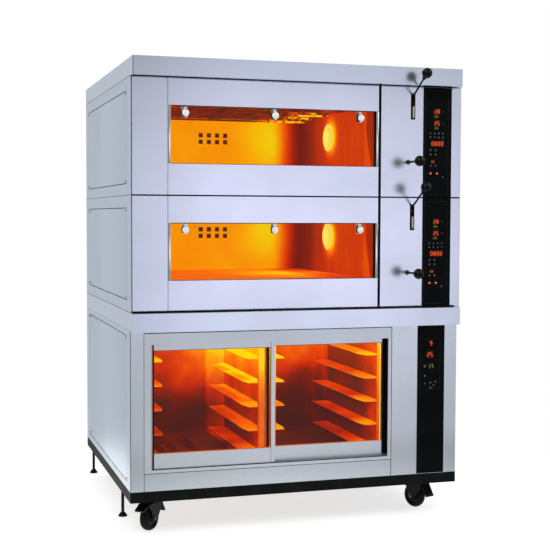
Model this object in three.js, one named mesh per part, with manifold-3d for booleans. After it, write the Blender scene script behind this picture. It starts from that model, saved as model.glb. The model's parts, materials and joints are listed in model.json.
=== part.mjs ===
// A bakery deck oven: two baking decks on top of a proofing cabinet, on a castor base.
// Millimetres, +Z up. Every piece is drawn with X from the left side, Y from the front faces of the
// decks towards the back, and Z from the floor; the last lines move the origin to the middle of the
// footprint.
import * as THREE from "three";
import { mergeVertices } from "three/addons/utils/BufferGeometryUtils.js";
import Module from "manifold-3d";

const wasm = await Module();
wasm.setup();

// ---- driving dimensions ----
const WIDTH = 1250;
const DEPTH = 1114; // front faces of the decks to the back panels
const GROUND_GAP = 120; // floor to the underside of the base frame
const BASE_HEIGHT = 38;
const PROOFER_HEIGHT = 570;
const FASCIA_HEIGHT = 65;
const DECK_HEIGHT = 409;
const HOOD_HEIGHT = 64;
const CASING = 3; // casing sheet
const SHEET = 2; // front panel sheet
const LINER = 2.5; // chamber sheet
const GAP = 0.3; // between two pieces that touch

// ---- levels above the floor ----
const PROOFER_FLOOR = GROUND_GAP + BASE_HEIGHT;
const FASCIA_FLOOR = PROOFER_FLOOR + PROOFER_HEIGHT;
const LOWER_DECK_FLOOR = FASCIA_FLOOR + FASCIA_HEIGHT;
const UPPER_DECK_FLOOR = LOWER_DECK_FLOOR + DECK_HEIGHT;
const HOOD_FLOOR = UPPER_DECK_FLOOR + DECK_HEIGHT;

// ---- fascias (hood and middle) ----
const FASCIA_REACH = 50; // how far they stand in front of the decks
const FASCIA_WIDTH = 1230;

// ---- deck, heights above the deck's own floor ----
const PANEL_DEPTH = 30; // folded front panels reach back to the chamber's flange
const WINDOW = { x: [141, 909], z: [112, 312] };
const WINDOW_PANEL_X = [132, 918];
const COLUMN_X = [928, WIDTH - CASING - GAP];
const CHAMBER = { x: [120, 930], y: [PANEL_DEPTH, 960], z: [90, 356] };
const CHAMBER_FLANGE = { x: [60, 990], z: [5, DECK_HEIGHT - 5] };
const ELEMENT_PIT = { x: [140, 910], y: [58, 950], z: [50, 90] };
const HEARTH_TOP = 104;
const TOP_ELEMENT = { x: [200, 850], y: [150, 899], z: 341, radius: 4, runs: 8, endX: 1004 };
const BOTTOM_ELEMENT = { x: [215, 835], y: [150, 899], z: 68, radius: 4, runs: 8, endX: 1004 };
const SHAFT = { y: 52, z: 342, radius: 7 };
const GLASS_Y = [24, 29];
const GLASS_LAP = { side: 5.5, below: 3.5, above: 6 }; // the glass reaches past its window
const CLAMP_X = [197, 525, 853];
const CLAMP_Z = 288;
const CLAMP = { bolt: 6, head: 12.5, headY: 10, width: 20 };
const LEVER = { x: 1054, reach: 202, radius: 3.5, ball: 19, angle: THREE.MathUtils.degToRad(30.5) };
const SLOT = { width: 10, z: [291, 380] };
const DAMPER = { x: 1036, z: 130, knobY: -105, knob: 19, radius: 4, endY: 1048, plateHalf: 50 };
const VENTS = { x: 530, z: 265, size: 19, pitchX: 36.5, pitchZ: 28.5, columns: 4, rows: 2 };
const LAMP = { y: 588, z: 255, radius: 50, bezel: 60 };
const FLUE = { radius: 40, wall: 3, reach: 30 };
const DISPLAY_X = [1096, 1210];
const DISPLAY_BOX = { x: [1107, 1199], z: [30, 380], depth: 75 };
const GLAND = { x: 1120, z: 300, bore: 14.5 };
const CORNER_SEAM = { y: 70, width: 1.5 };
const DECK_COVER = { y: [80, 1035], z: [40, 366] };
const BACK_SLOTS = { x: [1050, 1190], pitch: 16, height: 5 };

// ---- proofer ----
const PROOFER_Y = 20; // its front sits this far behind the decks
const DOORWAY = { x: [50, 985], z: [221, 717] };
const TRACK_Y = [PROOFER_Y + 1, 61];
const DOOR_OPENING = { x: [76, 972], z: [236, 677] };
const FRONT_TRACK = [25, 41];
const REAR_TRACK = [43, 59];
const DOOR_Z = [DOOR_OPENING.z[0] - 6, DOOR_OPENING.z[1] + 6];
const LEFT_DOOR = { x: [79, 531], y: [26, 40], glassX: [85, 517], glassZ: [289, 657] };
const RIGHT_DOOR = { x: [500, 960.7], y: [44, 58], glassX: [514, 957], glassZ: [289, 660] };
const GRIP_X = [961, 971];
const BAY = { x: [66, 971], y: [64, 888], z: [200, 685] };
const RACK = { y: [95, 690], z: [BAY.z[0] + GAP, 665], lip: 12 };
const SHELVES = { count: 5, lowest: 253, pitch: 88.5, width: 70, taper: { width: 10, length: 55 } };
const MIDDLE_RACK_X = [513, 527];
const MIDDLE_POST = { x: [487, 553], y: [87, 103] };
const REAR_DUCT = { x: [484, 556], depth: 26 };
const HUMIDIFIER = { x: [190, 330], y: [250, 650], height: 34 };
const PROOFER_PANEL_X = [1090, 1200];
const PROOFER_BOX = { x: [1102, 1188], z: [330, 700], backY: 56 };
const PROOFER_COVER = { y: [84, 1035], z: [PROOFER_FLOOR + 26, FASCIA_FLOOR - 20] };

// ---- base ----
const PAD_THICKNESS = 4; // plates under the frame's corners that the castors are bolted to
const CASTOR = { x: 100, frontY: 120, rearY: 1000, wheel: 47, wheelWidth: 32, clearance: 3, trail: 28 };
const FORK = { top: GROUND_GAP - PAD_THICKNESS - GAP, crown: 97, front: -26, back: 48, leg: 4, head: 34 };
const AXLE = { y: CASTOR.trail, z: CASTOR.wheel, radius: 5 };
const PEDAL_PIVOT = { y: 62, z: 98, radius: 3 };
const FOOT = { x: 23, frontY: 320, rearY: 1088, stem: 6, pad: 17, top: GROUND_GAP + 14 };

// ---- solids ----
// A closed three.js geometry as a solid that can be joined and cut.
function solid(geometry) {
  const bare = geometry.clone();
  bare.deleteAttribute("normal");
  bare.deleteAttribute("uv");
  const merged = mergeVertices(bare, 1e-4);
  return new wasm.Manifold(
    new wasm.Mesh({
      numProp: 3,
      vertProperties: merged.attributes.position.array,
      triVerts: new Uint32Array(merged.index.array),
    }),
  );
}

function join(...pieces) {
  return pieces.reduce((whole, piece) => whole.add(piece));
}

function cut(body, ...tools) {
  return tools.reduce((rest, tool) => rest.subtract(tool), body);
}

function box([x0, x1], [y0, y1], [z0, z1]) {
  const geometry = new THREE.BoxGeometry(x1 - x0, y1 - y0, z1 - z0);
  geometry.translate((x0 + x1) / 2, (y0 + y1) / 2, (z0 + z1) / 2);
  return solid(geometry);
}

// A round bar from one point to another.
function rod(from, to, radius, sides = 12) {
  const start = new THREE.Vector3(...from);
  const end = new THREE.Vector3(...to);
  const geometry = new THREE.CylinderGeometry(radius, radius, start.distanceTo(end), sides);
  const direction = end.clone().sub(start).normalize();
  geometry.applyQuaternion(
    new THREE.Quaternion().setFromUnitVectors(new THREE.Vector3(0, 1, 0), direction),
  );
  geometry.translate(...start.add(end).multiplyScalar(0.5).toArray());
  return solid(geometry);
}

// A turned shape: profile points are [radius, distance along the axis], and the axis points along
// direction from the given centre.
function turned(profile, centre, direction, sides = 20) {
  const points = profile.map(([radius, along]) => new THREE.Vector2(radius, along));
  const geometry = new THREE.LatheGeometry(points, sides);
  geometry.applyQuaternion(
    new THREE.Quaternion().setFromUnitVectors(
      new THREE.Vector3(0, 1, 0),
      new THREE.Vector3(...direction),
    ),
  );
  geometry.translate(...centre);
  return solid(geometry);
}

function ball(centre, radius) {
  const geometry = new THREE.SphereGeometry(radius, 14, 8);
  geometry.translate(...centre);
  return solid(geometry);
}

// An outline in the (y, z) plane, made solid between two values of x.
function sideProfile(outline, [x0, x1]) {
  const shape = new THREE.Shape(outline.map(([y, z]) => new THREE.Vector2(y, z)));
  const geometry = new THREE.ExtrudeGeometry(shape, { depth: x1 - x0, bevelEnabled: false });
  geometry.applyMatrix4(
    new THREE.Matrix4().makeBasis(
      new THREE.Vector3(0, 1, 0),
      new THREE.Vector3(0, 0, 1),
      new THREE.Vector3(1, 0, 0),
    ),
  );
  geometry.translate(x0, 0, 0);
  return solid(geometry);
}

// An outline in the (x, y) plane, made solid between two heights.
function planProfile(outline, [z0, z1]) {
  const shape = new THREE.Shape(outline.map(([x, y]) => new THREE.Vector2(x, y)));
  const geometry = new THREE.ExtrudeGeometry(shape, { depth: z1 - z0, bevelEnabled: false });
  geometry.translate(0, 0, z0);
  return solid(geometry);
}

// A front panel folded back at its four edges.
function foldedPanel([x0, x1], [y0, y1], [z0, z1]) {
  const inside = box(
    [x0 + SHEET, x1 - SHEET],
    [y0 + SHEET, y1 + 1],
    [z0 + SHEET, z1 - SHEET],
  );
  return cut(box([x0, x1], [y0, y1], [z0, z1]), inside);
}

// A rectangular collar around an opening.
function collar([x0, x1], [y0, y1], [z0, z1], thickness) {
  const outer = box(
    [x0 - thickness, x1 + thickness],
    [y0, y1],
    [z0 - thickness, z1 + thickness],
  );
  return cut(outer, box([x0, x1], [y0 - 1, y1 + 1], [z0, z1]));
}

// ---- materials ----
const finish = (color, roughness, metalness, extra = {}) =>
  new THREE.MeshStandardMaterial({ color, roughness, metalness, ...extra });
const brushedSteel = () => finish(0xc9ccda, 0.35, 0.9);
const darkSteel = () => finish(0x55585c, 0.5, 0.8);
const aluminium = () => finish(0xd4d8de, 0.4, 0.85);
const enamelledFrame = () => finish(0x1b2622, 0.5, 0.2);
const blackPlastic = () => finish(0x121314, 0.4, 0);
const rubber = () => finish(0x161616, 0.8, 0);
const chamberSteel = () => finish(0xb87a45, 0.45, 0.7);
const stone = () => finish(0x8d7a66, 0.85, 0);
const glass = () => finish(0xdfe8ea, 0.05, 0, { transparent: true, opacity: 0.3 });
const lampGlass = () => finish(0xffe9a0, 0.2, 0, { emissive: 0xffc040 });

// One named piece of the oven.
function piece(name, shape, material) {
  const { vertProperties, triVerts } = shape.getMesh();
  const geometry = new THREE.BufferGeometry();
  geometry.setAttribute("position", new THREE.BufferAttribute(vertProperties, 3));
  geometry.setIndex(new THREE.BufferAttribute(triVerts, 1));
  const faceted = geometry.toNonIndexed();
  faceted.computeVertexNormals();
  const mesh = new THREE.Mesh(faceted, material);
  mesh.name = name;
  return mesh;
}

// ---- casings ----
const BACK_WALL = [DEPTH - CASING - 1, DEPTH + 1]; // right through it

// The recess of a screwed-on access cover in each side wall.
function coverRecesses([y0, y1], [z0, z1]) {
  const depth = 1.5;
  return join(
    box([-1, depth], [y0, y1], [z0, z1]),
    box([WIDTH - depth, WIDTH + 1], [y0, y1], [z0, z1]),
  );
}

// A row of ventilation slots in the back wall, behind the electrical bay.
function backSlots(z0, count) {
  const { x, pitch, height } = BACK_SLOTS;
  const slots = Array.from({ length: count }, (_, i) =>
    box(x, BACK_WALL, [z0 + i * pitch, z0 + i * pitch + height]),
  );
  return join(...slots);
}

// Left, back and right walls in one folded shell, open to the front, above and below.
function wallShell(frontY, [z0, z1]) {
  const outer = box([0, WIDTH], [frontY, DEPTH], [z0, z1]);
  const inner = box([CASING, WIDTH - CASING], [frontY - 1, DEPTH - CASING], [z0 - 1, z1 + 1]);
  return cut(outer, inner);
}

// A round bar along Y, such as a bore through the back wall.
function backRod({ x, z }, [y0, y1], radius, sides) {
  return rod([x, y0, z], [x, y1, z], radius, sides);
}

function deckCasing(hasGland) {
  const outlet = [DEPTH - CASING, DEPTH + FLUE.reach];
  const flue = backRod(VENTS, outlet, FLUE.radius, 24);
  const flueBore = backRod(VENTS, [outlet[0] - 1, outlet[1] + 1], FLUE.radius - FLUE.wall, 24);
  const seamY = [CORNER_SEAM.y, CORNER_SEAM.y + CORNER_SEAM.width];
  const seam = box([-1, 1], seamY, [-1, DECK_HEIGHT + 1]);
  const floorPlate = box([1, WIDTH - 1], [PANEL_DEPTH, DEPTH - 1], [GAP, CASING]);
  const shell = cut(
    join(wallShell(SHEET, [GAP, DECK_HEIGHT - GAP]), floorPlate, flue),
    flueBore,
    seam,
    coverRecesses(DECK_COVER.y, DECK_COVER.z),
    backSlots(60, 8),
  );
  return hasGland ? cut(shell, backRod(GLAND, BACK_WALL, GLAND.bore, 16)) : shell;
}

// ---- baking deck ----
// The square vent holes in the chamber's back wall.
function ventHoles() {
  const { x, z, size, pitchX, pitchZ, columns, rows } = VENTS;
  const holes = [];
  for (let column = 0; column < columns; column++) {
    for (let row = 0; row < rows; row++) {
      const left = x + (column - (columns - 1) / 2) * pitchX - size / 2;
      const low = z + (row - (rows - 1) / 2) * pitchZ - size / 2;
      const through = [CHAMBER.y[1] - 1, CHAMBER.y[1] + LINER + 1];
      holes.push(box([left, left + size], through, [low, low + size]));
    }
  }
  return join(...holes);
}

// A bore along X at a height and a distance from the front.
function crossBore([x0, x1], y, z, radius, sides) {
  return rod([x0, y, z], [x1, y, z], radius, sides);
}

// The baking chamber: its walls, the pit of the bottom element, the flange behind the front panels,
// the bearings of the door's shaft, and the bearers it stands on.
function deckLiner() {
  const wall = LINER;
  const clearance = 0.6;
  const bearing = { width: 20, half: 14 };
  const outerChamber = box(
    [CHAMBER.x[0] - wall, CHAMBER.x[1] + wall],
    [CHAMBER.y[0], CHAMBER.y[1] + wall],
    [CHAMBER.z[0] - wall, CHAMBER.z[1] + wall],
  );
  const outerPit = box(
    [ELEMENT_PIT.x[0] - wall, ELEMENT_PIT.x[1] + wall],
    [CHAMBER.y[0], ELEMENT_PIT.y[1] + wall],
    [ELEMENT_PIT.z[0] - wall, ELEMENT_PIT.z[1]],
  );
  const flange = box(CHAMBER_FLANGE.x, [PANEL_DEPTH, PANEL_DEPTH + wall], CHAMBER_FLANGE.z);
  const bearings = [CHAMBER.x[0] - bearing.width, CHAMBER.x[1]].map((x) =>
    box(
      [x, x + bearing.width],
      [SHAFT.y - bearing.half, SHAFT.y + bearing.half],
      [SHAFT.z - bearing.half, SHAFT.z + bearing.half],
    ),
  );
  const bearers = [220, 790].map((x) =>
    box([x, x + 40], [100, 900], [CASING + 2 * GAP, ELEMENT_PIT.z[0] - 1]),
  );
  const lip = box(
    [CHAMBER.x[0] - 1, CHAMBER.x[1] + 1],
    [PANEL_DEPTH, ELEMENT_PIT.y[0]],
    [ELEMENT_PIT.z[1] - 1, HEARTH_TOP],
  );
  const hollow = join(
    box(CHAMBER.x, [CHAMBER.y[0] - 1, CHAMBER.y[1]], CHAMBER.z),
    box(ELEMENT_PIT.x, ELEMENT_PIT.y, [ELEMENT_PIT.z[0], ELEMENT_PIT.z[1] + 1]),
  );
  const shaftBore = crossBore(CHAMBER_FLANGE.x, SHAFT.y, SHAFT.z, SHAFT.radius + clearance, 16);
  const rightWall = [CHAMBER.x[1] - 1, CHAMBER.x[1] + wall + 1];
  const lampHole = crossBore(rightWall, LAMP.y, LAMP.z, LAMP.radius + clearance, 24);
  const terminalHoles = [TOP_ELEMENT, BOTTOM_ELEMENT].flatMap(({ x, y, z, radius }) =>
    y.map((endY) => crossBore([x[1], CHAMBER_FLANGE.x[1]], endY, z, radius + 4 * clearance, 10)),
  );
  const body = cut(join(outerChamber, outerPit, flange, ...bearings, ...bearers), hollow);
  return cut(join(body, lip), shaftBore, lampHole, ventHoles(), ...terminalHoles);
}

// A sheathed heating element: straight runs from side to side, joined by half-round bends, with
// both ends led out through the right wall.
function heatingElement({ x, y, z, radius, runs, endX }) {
  const sides = 6;
  const overlap = 0.5;
  const bendPoints = 6;
  const pitch = (y[1] - y[0]) / (runs - 1);
  const section = new THREE.Shape(
    Array.from({ length: sides }, (_, i) => {
      const turn = (2 * Math.PI * i) / sides;
      return new THREE.Vector2(radius * Math.cos(turn), radius * Math.sin(turn));
    }),
  );
  const parts = [];
  for (let run = 0; run < runs; run++) {
    const isEnd = run === 0 || run === runs - 1;
    const runY = y[0] + run * pitch;
    const end = isEnd ? endX : x[1] + overlap;
    parts.push(rod([x[0] - overlap, runY, z], [end, runY, z], radius, sides));
    if (run === runs - 1) continue;
    const onLeft = run % 2 === 0;
    const bend = new THREE.CatmullRomCurve3(
      Array.from({ length: bendPoints + 1 }, (_, i) => {
        const turn = -Math.PI / 2 + (Math.PI * i) / bendPoints;
        const out = (pitch / 2) * Math.cos(turn);
        return new THREE.Vector3(
          onLeft ? x[0] - out : x[1] + out,
          runY + pitch / 2 + (pitch / 2) * Math.sin(turn),
          z,
        );
      }),
    );
    parts.push(
      solid(new THREE.ExtrudeGeometry(section, { steps: 4, extrudePath: bend, bevelEnabled: false })),
    );
  }
  return join(...parts);
}

function hearthPlate() {
  const side = 2;
  return box(
    [CHAMBER.x[0] + side, CHAMBER.x[1] - side],
    [ELEMENT_PIT.y[0] + side, CHAMBER.y[1] - side],
    [CHAMBER.z[0] + GAP, HEARTH_TOP],
  );
}

function leftPanel() {
  const x = [CASING + GAP, WINDOW_PANEL_X[0] - 1];
  return foldedPanel(x, [0, PANEL_DEPTH - GAP], [1, DECK_HEIGHT - 1]);
}

function windowPanel() {
  const panel = foldedPanel(WINDOW_PANEL_X, [0, PANEL_DEPTH - GAP], [1, DECK_HEIGHT - 1]);
  const opening = box(WINDOW.x, [-1, SHEET + 1], WINDOW.z);
  const jamb = collar(WINDOW.x, [0, GLASS_Y[0] - 2], WINDOW.z, SHEET);
  return join(cut(panel, opening), jamb);
}

// The door's glass hangs below its shaft, with a round hole for each clamp bolt.
function doorGlass() {
  const plate = box(
    [WINDOW.x[0] - GLASS_LAP.side, WINDOW.x[1] + GLASS_LAP.side],
    GLASS_Y,
    [WINDOW.z[0] - GLASS_LAP.below, WINDOW.z[1] + GLASS_LAP.above],
  );
  const holes = CLAMP_X.map((x) =>
    rod([x, GLASS_Y[0] - 1, CLAMP_Z], [x, GLASS_Y[1] + 1, CLAMP_Z], CLAMP.bolt + 0.8, 12),
  );
  return cut(plate, ...holes);
}

// The shaft, and the three arms that each hold the glass between a plate behind and a round head in
// front.
function doorShaft() {
  const ends = [CHAMBER.x[0] - 18, LEVER.x + 24];
  const shaft = rod([ends[0], SHAFT.y, SHAFT.z], [ends[1], SHAFT.y, SHAFT.z], SHAFT.radius, 16);
  const armY = GLASS_Y[1] + GAP;
  const armThickness = 5;
  const headBack = GLASS_Y[0] - GAP;
  const armOutline = [
    [armY, CLAMP_Z - 14],
    [armY + armThickness, CLAMP_Z - 14],
    [armY + armThickness, SHAFT.z - 8],
    [SHAFT.y, SHAFT.z - 8],
    [SHAFT.y, SHAFT.z + 8],
    [armY, SHAFT.z + 8],
  ];
  const clamps = CLAMP_X.map((x) => {
    const sides = [x - CLAMP.width / 2, x + CLAMP.width / 2];
    return join(
      sideProfile(armOutline, sides),
      rod([sides[0], SHAFT.y, SHAFT.z], [sides[1], SHAFT.y, SHAFT.z], 12, 12),
      rod([x, headBack - 1, CLAMP_Z], [x, armY + 1, CLAMP_Z], CLAMP.bolt, 10),
      rod([x, CLAMP.headY, CLAMP_Z], [x, headBack, CLAMP_Z], CLAMP.head, 14),
      box([x - 6, x + 6], [headBack - 4, headBack], [CLAMP_Z, WINDOW.z[1] - 3]),
    );
  });
  return join(shaft, ...clamps);
}

function doorLever() {
  const hub = turned(
    [
      [SHAFT.radius + 0.5, -10],
      [13, -10],
      [13, 10],
      [SHAFT.radius + 0.5, 10],
      [SHAFT.radius + 0.5, -10],
    ],
    [LEVER.x, SHAFT.y, SHAFT.z],
    [1, 0, 0],
    16,
  );
  const along = (distance) => [
    LEVER.x,
    SHAFT.y - distance * Math.cos(LEVER.angle),
    SHAFT.z + distance * Math.sin(LEVER.angle),
  ];
  return join(
    hub,
    rod(along(SHAFT.radius + 3), along(LEVER.reach), LEVER.radius, 10),
    ball(along(LEVER.reach), LEVER.ball),
  );
}

function controlColumn() {
  const panel = foldedPanel(COLUMN_X, [0, PANEL_DEPTH - GAP], [1, DECK_HEIGHT - 1]);
  const through = [-1, SHEET + 1];
  const slot = box([LEVER.x - SLOT.width / 2, LEVER.x + SLOT.width / 2], through, SLOT.z);
  const bezelCut = box(DISPLAY_BOX.x, through, DISPLAY_BOX.z);
  const bush = rod([DAMPER.x, 1, DAMPER.z], [DAMPER.x, 14, DAMPER.z], 10, 12);
  const bushBore = rod([DAMPER.x, -1, DAMPER.z], [DAMPER.x, 15, DAMPER.z], DAMPER.radius + 0.8, 12);
  return cut(join(panel, bush), slot, bezelCut, bushBore);
}

// The control panel: a black face plate with its electronics box behind.
function controlPanel() {
  const plate = box(DISPLAY_X, [-2, -GAP], [2, DECK_HEIGHT - 2]);
  const housing = box(
    [DISPLAY_BOX.x[0] + 1, DISPLAY_BOX.x[1] - 1],
    [-1, DISPLAY_BOX.depth],
    [DISPLAY_BOX.z[0] + 1, DISPLAY_BOX.z[1] - 1],
  );
  return join(plate, housing);
}

// The rod runs back through the electrical bay, and a cross bar carries the plate that closes the
// flue when the knob is pushed in.
function damperRod() {
  const { x, z, knobY, knob, radius, endY, plateHalf } = DAMPER;
  const barHalf = 6;
  return join(
    ball([x, knobY, z], knob),
    rod([x, knobY, z], [x, endY, z], radius, 10),
    box([VENTS.x, x + radius], [endY - 2 * CASING, endY], [z - barHalf, z + barHalf]),
    box(
      [VENTS.x - plateHalf, VENTS.x + plateHalf],
      [endY - CASING, endY],
      [z - barHalf, VENTS.z + plateHalf],
    ),
  );
}

function ovenLamp() {
  const profile = [
    [0, 0],
    [30, 1.5],
    [46, 5],
    [LAMP.radius - 0.5, 6],
    [LAMP.radius - 0.5, 9],
    [LAMP.bezel, 9],
    [LAMP.bezel, 12],
    [44, 12],
    [40, 60],
    [0, 60],
  ];
  return turned(profile, [CHAMBER.x[1] - 6, LAMP.y, LAMP.z], [1, 0, 0], 24);
}

function deck(prefix, floor, hasGland) {
  const group = new THREE.Group();
  group.position.z = floor;
  group.add(
    piece(prefix + "casing", deckCasing(hasGland), brushedSteel()),
    piece(prefix + "chamber", deckLiner(), chamberSteel()),
    piece(prefix + "hearth", hearthPlate(), stone()),
    piece(prefix + "top_element", heatingElement(TOP_ELEMENT), darkSteel()),
    piece(prefix + "bottom_element", heatingElement(BOTTOM_ELEMENT), darkSteel()),
    piece(prefix + "left_panel", leftPanel(), brushedSteel()),
    piece(prefix + "window_panel", windowPanel(), brushedSteel()),
    piece(prefix + "control_column", controlColumn(), brushedSteel()),
    piece(prefix + "control_panel", controlPanel(), blackPlastic()),
    piece(prefix + "door_glass", doorGlass(), glass()),
    piece(prefix + "door_shaft", doorShaft(), brushedSteel()),
    piece(prefix + "door_lever", doorLever(), blackPlastic()),
    piece(prefix + "damper_rod", damperRod(), blackPlastic()),
    piece(prefix + "lamp", ovenLamp(), lampGlass()),
  );
  return group;
}

// ---- hood and middle fascia ----
// A folded tray, open below, with a boxed fascia standing out in front.
function fasciaTray(z0, height) {
  const z1 = z0 + height;
  const top = z1 - SHEET;
  const skirts = cut(
    box([0, WIDTH], [0, DEPTH], [z0, z1]),
    box([CASING, WIDTH - CASING], [SHEET, DEPTH - CASING], [z0 - 1, top]),
  );
  const fascia = cut(
    box([0, FASCIA_WIDTH], [-FASCIA_REACH, 1], [z0, z1]),
    box([SHEET, FASCIA_WIDTH - SHEET], [SHEET - FASCIA_REACH, 2], [z0 + SHEET, top]),
  );
  const passage = box([20, FASCIA_WIDTH - 20], [-1, SHEET + 1], [z0 + 8, top - 4]);
  return cut(join(skirts, fascia), passage);
}

// ---- proofer ----
function prooferCasing() {
  const z = [PROOFER_FLOOR + GAP, FASCIA_FLOOR - GAP];
  const shell = wallShell(PROOFER_Y + SHEET + GAP, z);
  return cut(shell, coverRecesses(PROOFER_COVER.y, PROOFER_COVER.z), backSlots(300, 12));
}

// The proofing chamber, its flange behind the front sheet, its bearers, and the warm air duct pressed
// out of the middle of its back wall.
function prooferLiner() {
  const wall = LINER;
  const outer = box(
    [BAY.x[0] - wall, BAY.x[1] + wall],
    [BAY.y[0], BAY.y[1] + wall],
    [BAY.z[0] - wall, BAY.z[1] + wall],
  );
  const flange = box([10, 1050], [BAY.y[0] - wall, BAY.y[0]], [PROOFER_FLOOR + 10, FASCIA_FLOOR - 6]);
  const bearers = [150, 580, 780].map((x) =>
    box([x, x + 40], [90, 860], [PROOFER_FLOOR + GAP, BAY.z[0] - 1]),
  );
  const hollow = box(BAY.x, [BAY.y[0] - wall - 1, BAY.y[1]], BAY.z);
  const ductFront = BAY.y[1] - REAR_DUCT.depth;
  const duct = box(REAR_DUCT.x, [ductFront, BAY.y[1] + 1], [BAY.z[0] - 1, BAY.z[1] + 1]);
  const ductInside = box(
    [REAR_DUCT.x[0] + wall, REAR_DUCT.x[1] - wall],
    [ductFront + wall, BAY.y[1] + wall + 1],
    [BAY.z[0] + wall, BAY.z[1] - wall],
  );
  const chamber = cut(join(outer, flange, ...bearers), hollow);
  return cut(join(chamber, duct), ductInside);
}

// The front sheet: the doorway, the cut-out for the control panel, and a seam line above and below
// each side of the doorway.
function prooferFront() {
  const through = [PROOFER_Y - 1, PROOFER_Y + SHEET + 1];
  const shadowGap = 3;
  const seamWidth = 1.5;
  const sheet = box(
    [0, WIDTH],
    [PROOFER_Y, PROOFER_Y + SHEET],
    [PROOFER_FLOOR + GAP, FASCIA_FLOOR - GAP],
  );
  const doorway = box(
    [DOORWAY.x[0] - GAP, DOORWAY.x[1] + GAP],
    through,
    [DOORWAY.z[0] - GAP, DOORWAY.z[1] + shadowGap],
  );
  const panelCut = box(PROOFER_BOX.x, through, PROOFER_BOX.z);
  const seams = [DOORWAY.x[0] - GAP, DOORWAY.x[1] + GAP - seamWidth].map((x) =>
    box([x, x + seamWidth], [PROOFER_Y - 1, PROOFER_Y + 1], [PROOFER_FLOOR, FASCIA_FLOOR]),
  );
  return cut(sheet, doorway, panelCut, ...seams);
}

function prooferPanel() {
  const plate = box(
    PROOFER_PANEL_X,
    [PROOFER_Y - 2, PROOFER_Y - GAP],
    [PROOFER_FLOOR + 2, FASCIA_FLOOR - 2],
  );
  const housing = box(
    [PROOFER_BOX.x[0] + 1, PROOFER_BOX.x[1] - 1],
    [PROOFER_Y - 1, PROOFER_BOX.backY],
    [PROOFER_BOX.z[0] + 1, PROOFER_BOX.z[1] - 1],
  );
  return join(plate, housing);
}

// The aluminium door surround: jambs at the sides, and two grooves in the head and in the sill.
function doorTrack() {
  const grooveDepth = 8;
  const surround = cut(
    box(DOORWAY.x, TRACK_Y, DOORWAY.z),
    box(DOOR_OPENING.x, [TRACK_Y[0] - 1, TRACK_Y[1] + 1], DOOR_OPENING.z),
  );
  const grooves = [FRONT_TRACK, REAR_TRACK].map((y) =>
    box(DOOR_OPENING.x, y, [DOOR_OPENING.z[0] - grooveDepth, DOOR_OPENING.z[1] + grooveDepth]),
  );
  return cut(surround, ...grooves);
}

// Each sliding door is a frame around its glass, in its own track.
function slidingFrame({ x, y, glassX, glassZ }) {
  return cut(box(x, y, DOOR_Z), box(glassX, [y[0] - 1, y[1] + 1], glassZ));
}

function slidingGlass({ y, glassX, glassZ }) {
  const middle = (y[0] + y[1]) / 2;
  return box(
    [glassX[0] + GAP, glassX[1] - GAP],
    [middle - 2, middle + 2],
    [glassZ[0] + GAP, glassZ[1] - GAP],
  );
}

function doorGrip() {
  const body = box(GRIP_X, RIGHT_DOOR.y, [DOOR_OPENING.z[0] + 1, DOOR_OPENING.z[1] - 1]);
  const groove = box(
    [GRIP_X[0] + 3, GRIP_X[1] - 3],
    [RIGHT_DOOR.y[0] - 1, RIGHT_DOOR.y[0] + 7],
    [DOOR_OPENING.z[0] + 20, DOOR_OPENING.z[1] - 20],
  );
  return cut(body, groove);
}

// The tray shelves that stand out from a rack's wall. side is +1 when they reach towards +X, and each
// one narrows at the front to lead the tray in.
function shelves(wallX, side) {
  const tipX = wallX + side * SHELVES.width;
  const frontY = RACK.y[0] + 1;
  const backY = RACK.y[1] - 1;
  const outline = [
    [wallX - side, frontY],
    [tipX - side * SHELVES.taper.width, frontY],
    [tipX, frontY + SHELVES.taper.length],
    [tipX, backY],
    [wallX - side, backY],
  ];
  const levels = Array.from({ length: SHELVES.count }, (_, i) => SHELVES.lowest + i * SHELVES.pitch);
  return join(...levels.map((z) => planProfile(outline, [z - SHEET, z])));
}

// A rack against a side wall: a channel with its lips towards the trays, and its shelves.
function sideRack(linerX, side) {
  const outside = linerX + side * GAP;
  const wallX = outside + side * SHEET;
  const lipX = wallX + side * RACK.lip;
  const [frontY, backY] = RACK.y;
  const channel = [
    [outside, frontY],
    [lipX, frontY],
    [lipX, frontY + SHEET],
    [wallX, frontY + SHEET],
    [wallX, backY - SHEET],
    [lipX, backY - SHEET],
    [lipX, backY],
    [outside, backY],
  ];
  return join(planProfile(channel, RACK.z), shelves(wallX, side));
}

// The middle rack: two walls with a shelf set on each, behind a wider folded post.
function middleRack() {
  const [x0, x1] = MIDDLE_RACK_X;
  const walls = cut(
    box([x0, x1], RACK.y, RACK.z),
    box([x0 + SHEET, x1 - SHEET], [RACK.y[0] - 1, RACK.y[1] - SHEET], [0, FASCIA_FLOOR]),
  );
  const post = cut(
    box(MIDDLE_POST.x, MIDDLE_POST.y, RACK.z),
    box(
      [MIDDLE_POST.x[0] + SHEET, MIDDLE_POST.x[1] - SHEET],
      [MIDDLE_POST.y[0] + SHEET, MIDDLE_POST.y[1] + 1],
      [0, FASCIA_FLOOR],
    ),
  );
  const plugs = [x0, x1 - SHEET].map((x) =>
    box([x, x + SHEET], [MIDDLE_POST.y[0] + 1, RACK.y[0] + 1], RACK.z),
  );
  return join(walls, post, ...plugs, shelves(x0, -1), shelves(x1, 1));
}

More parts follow.
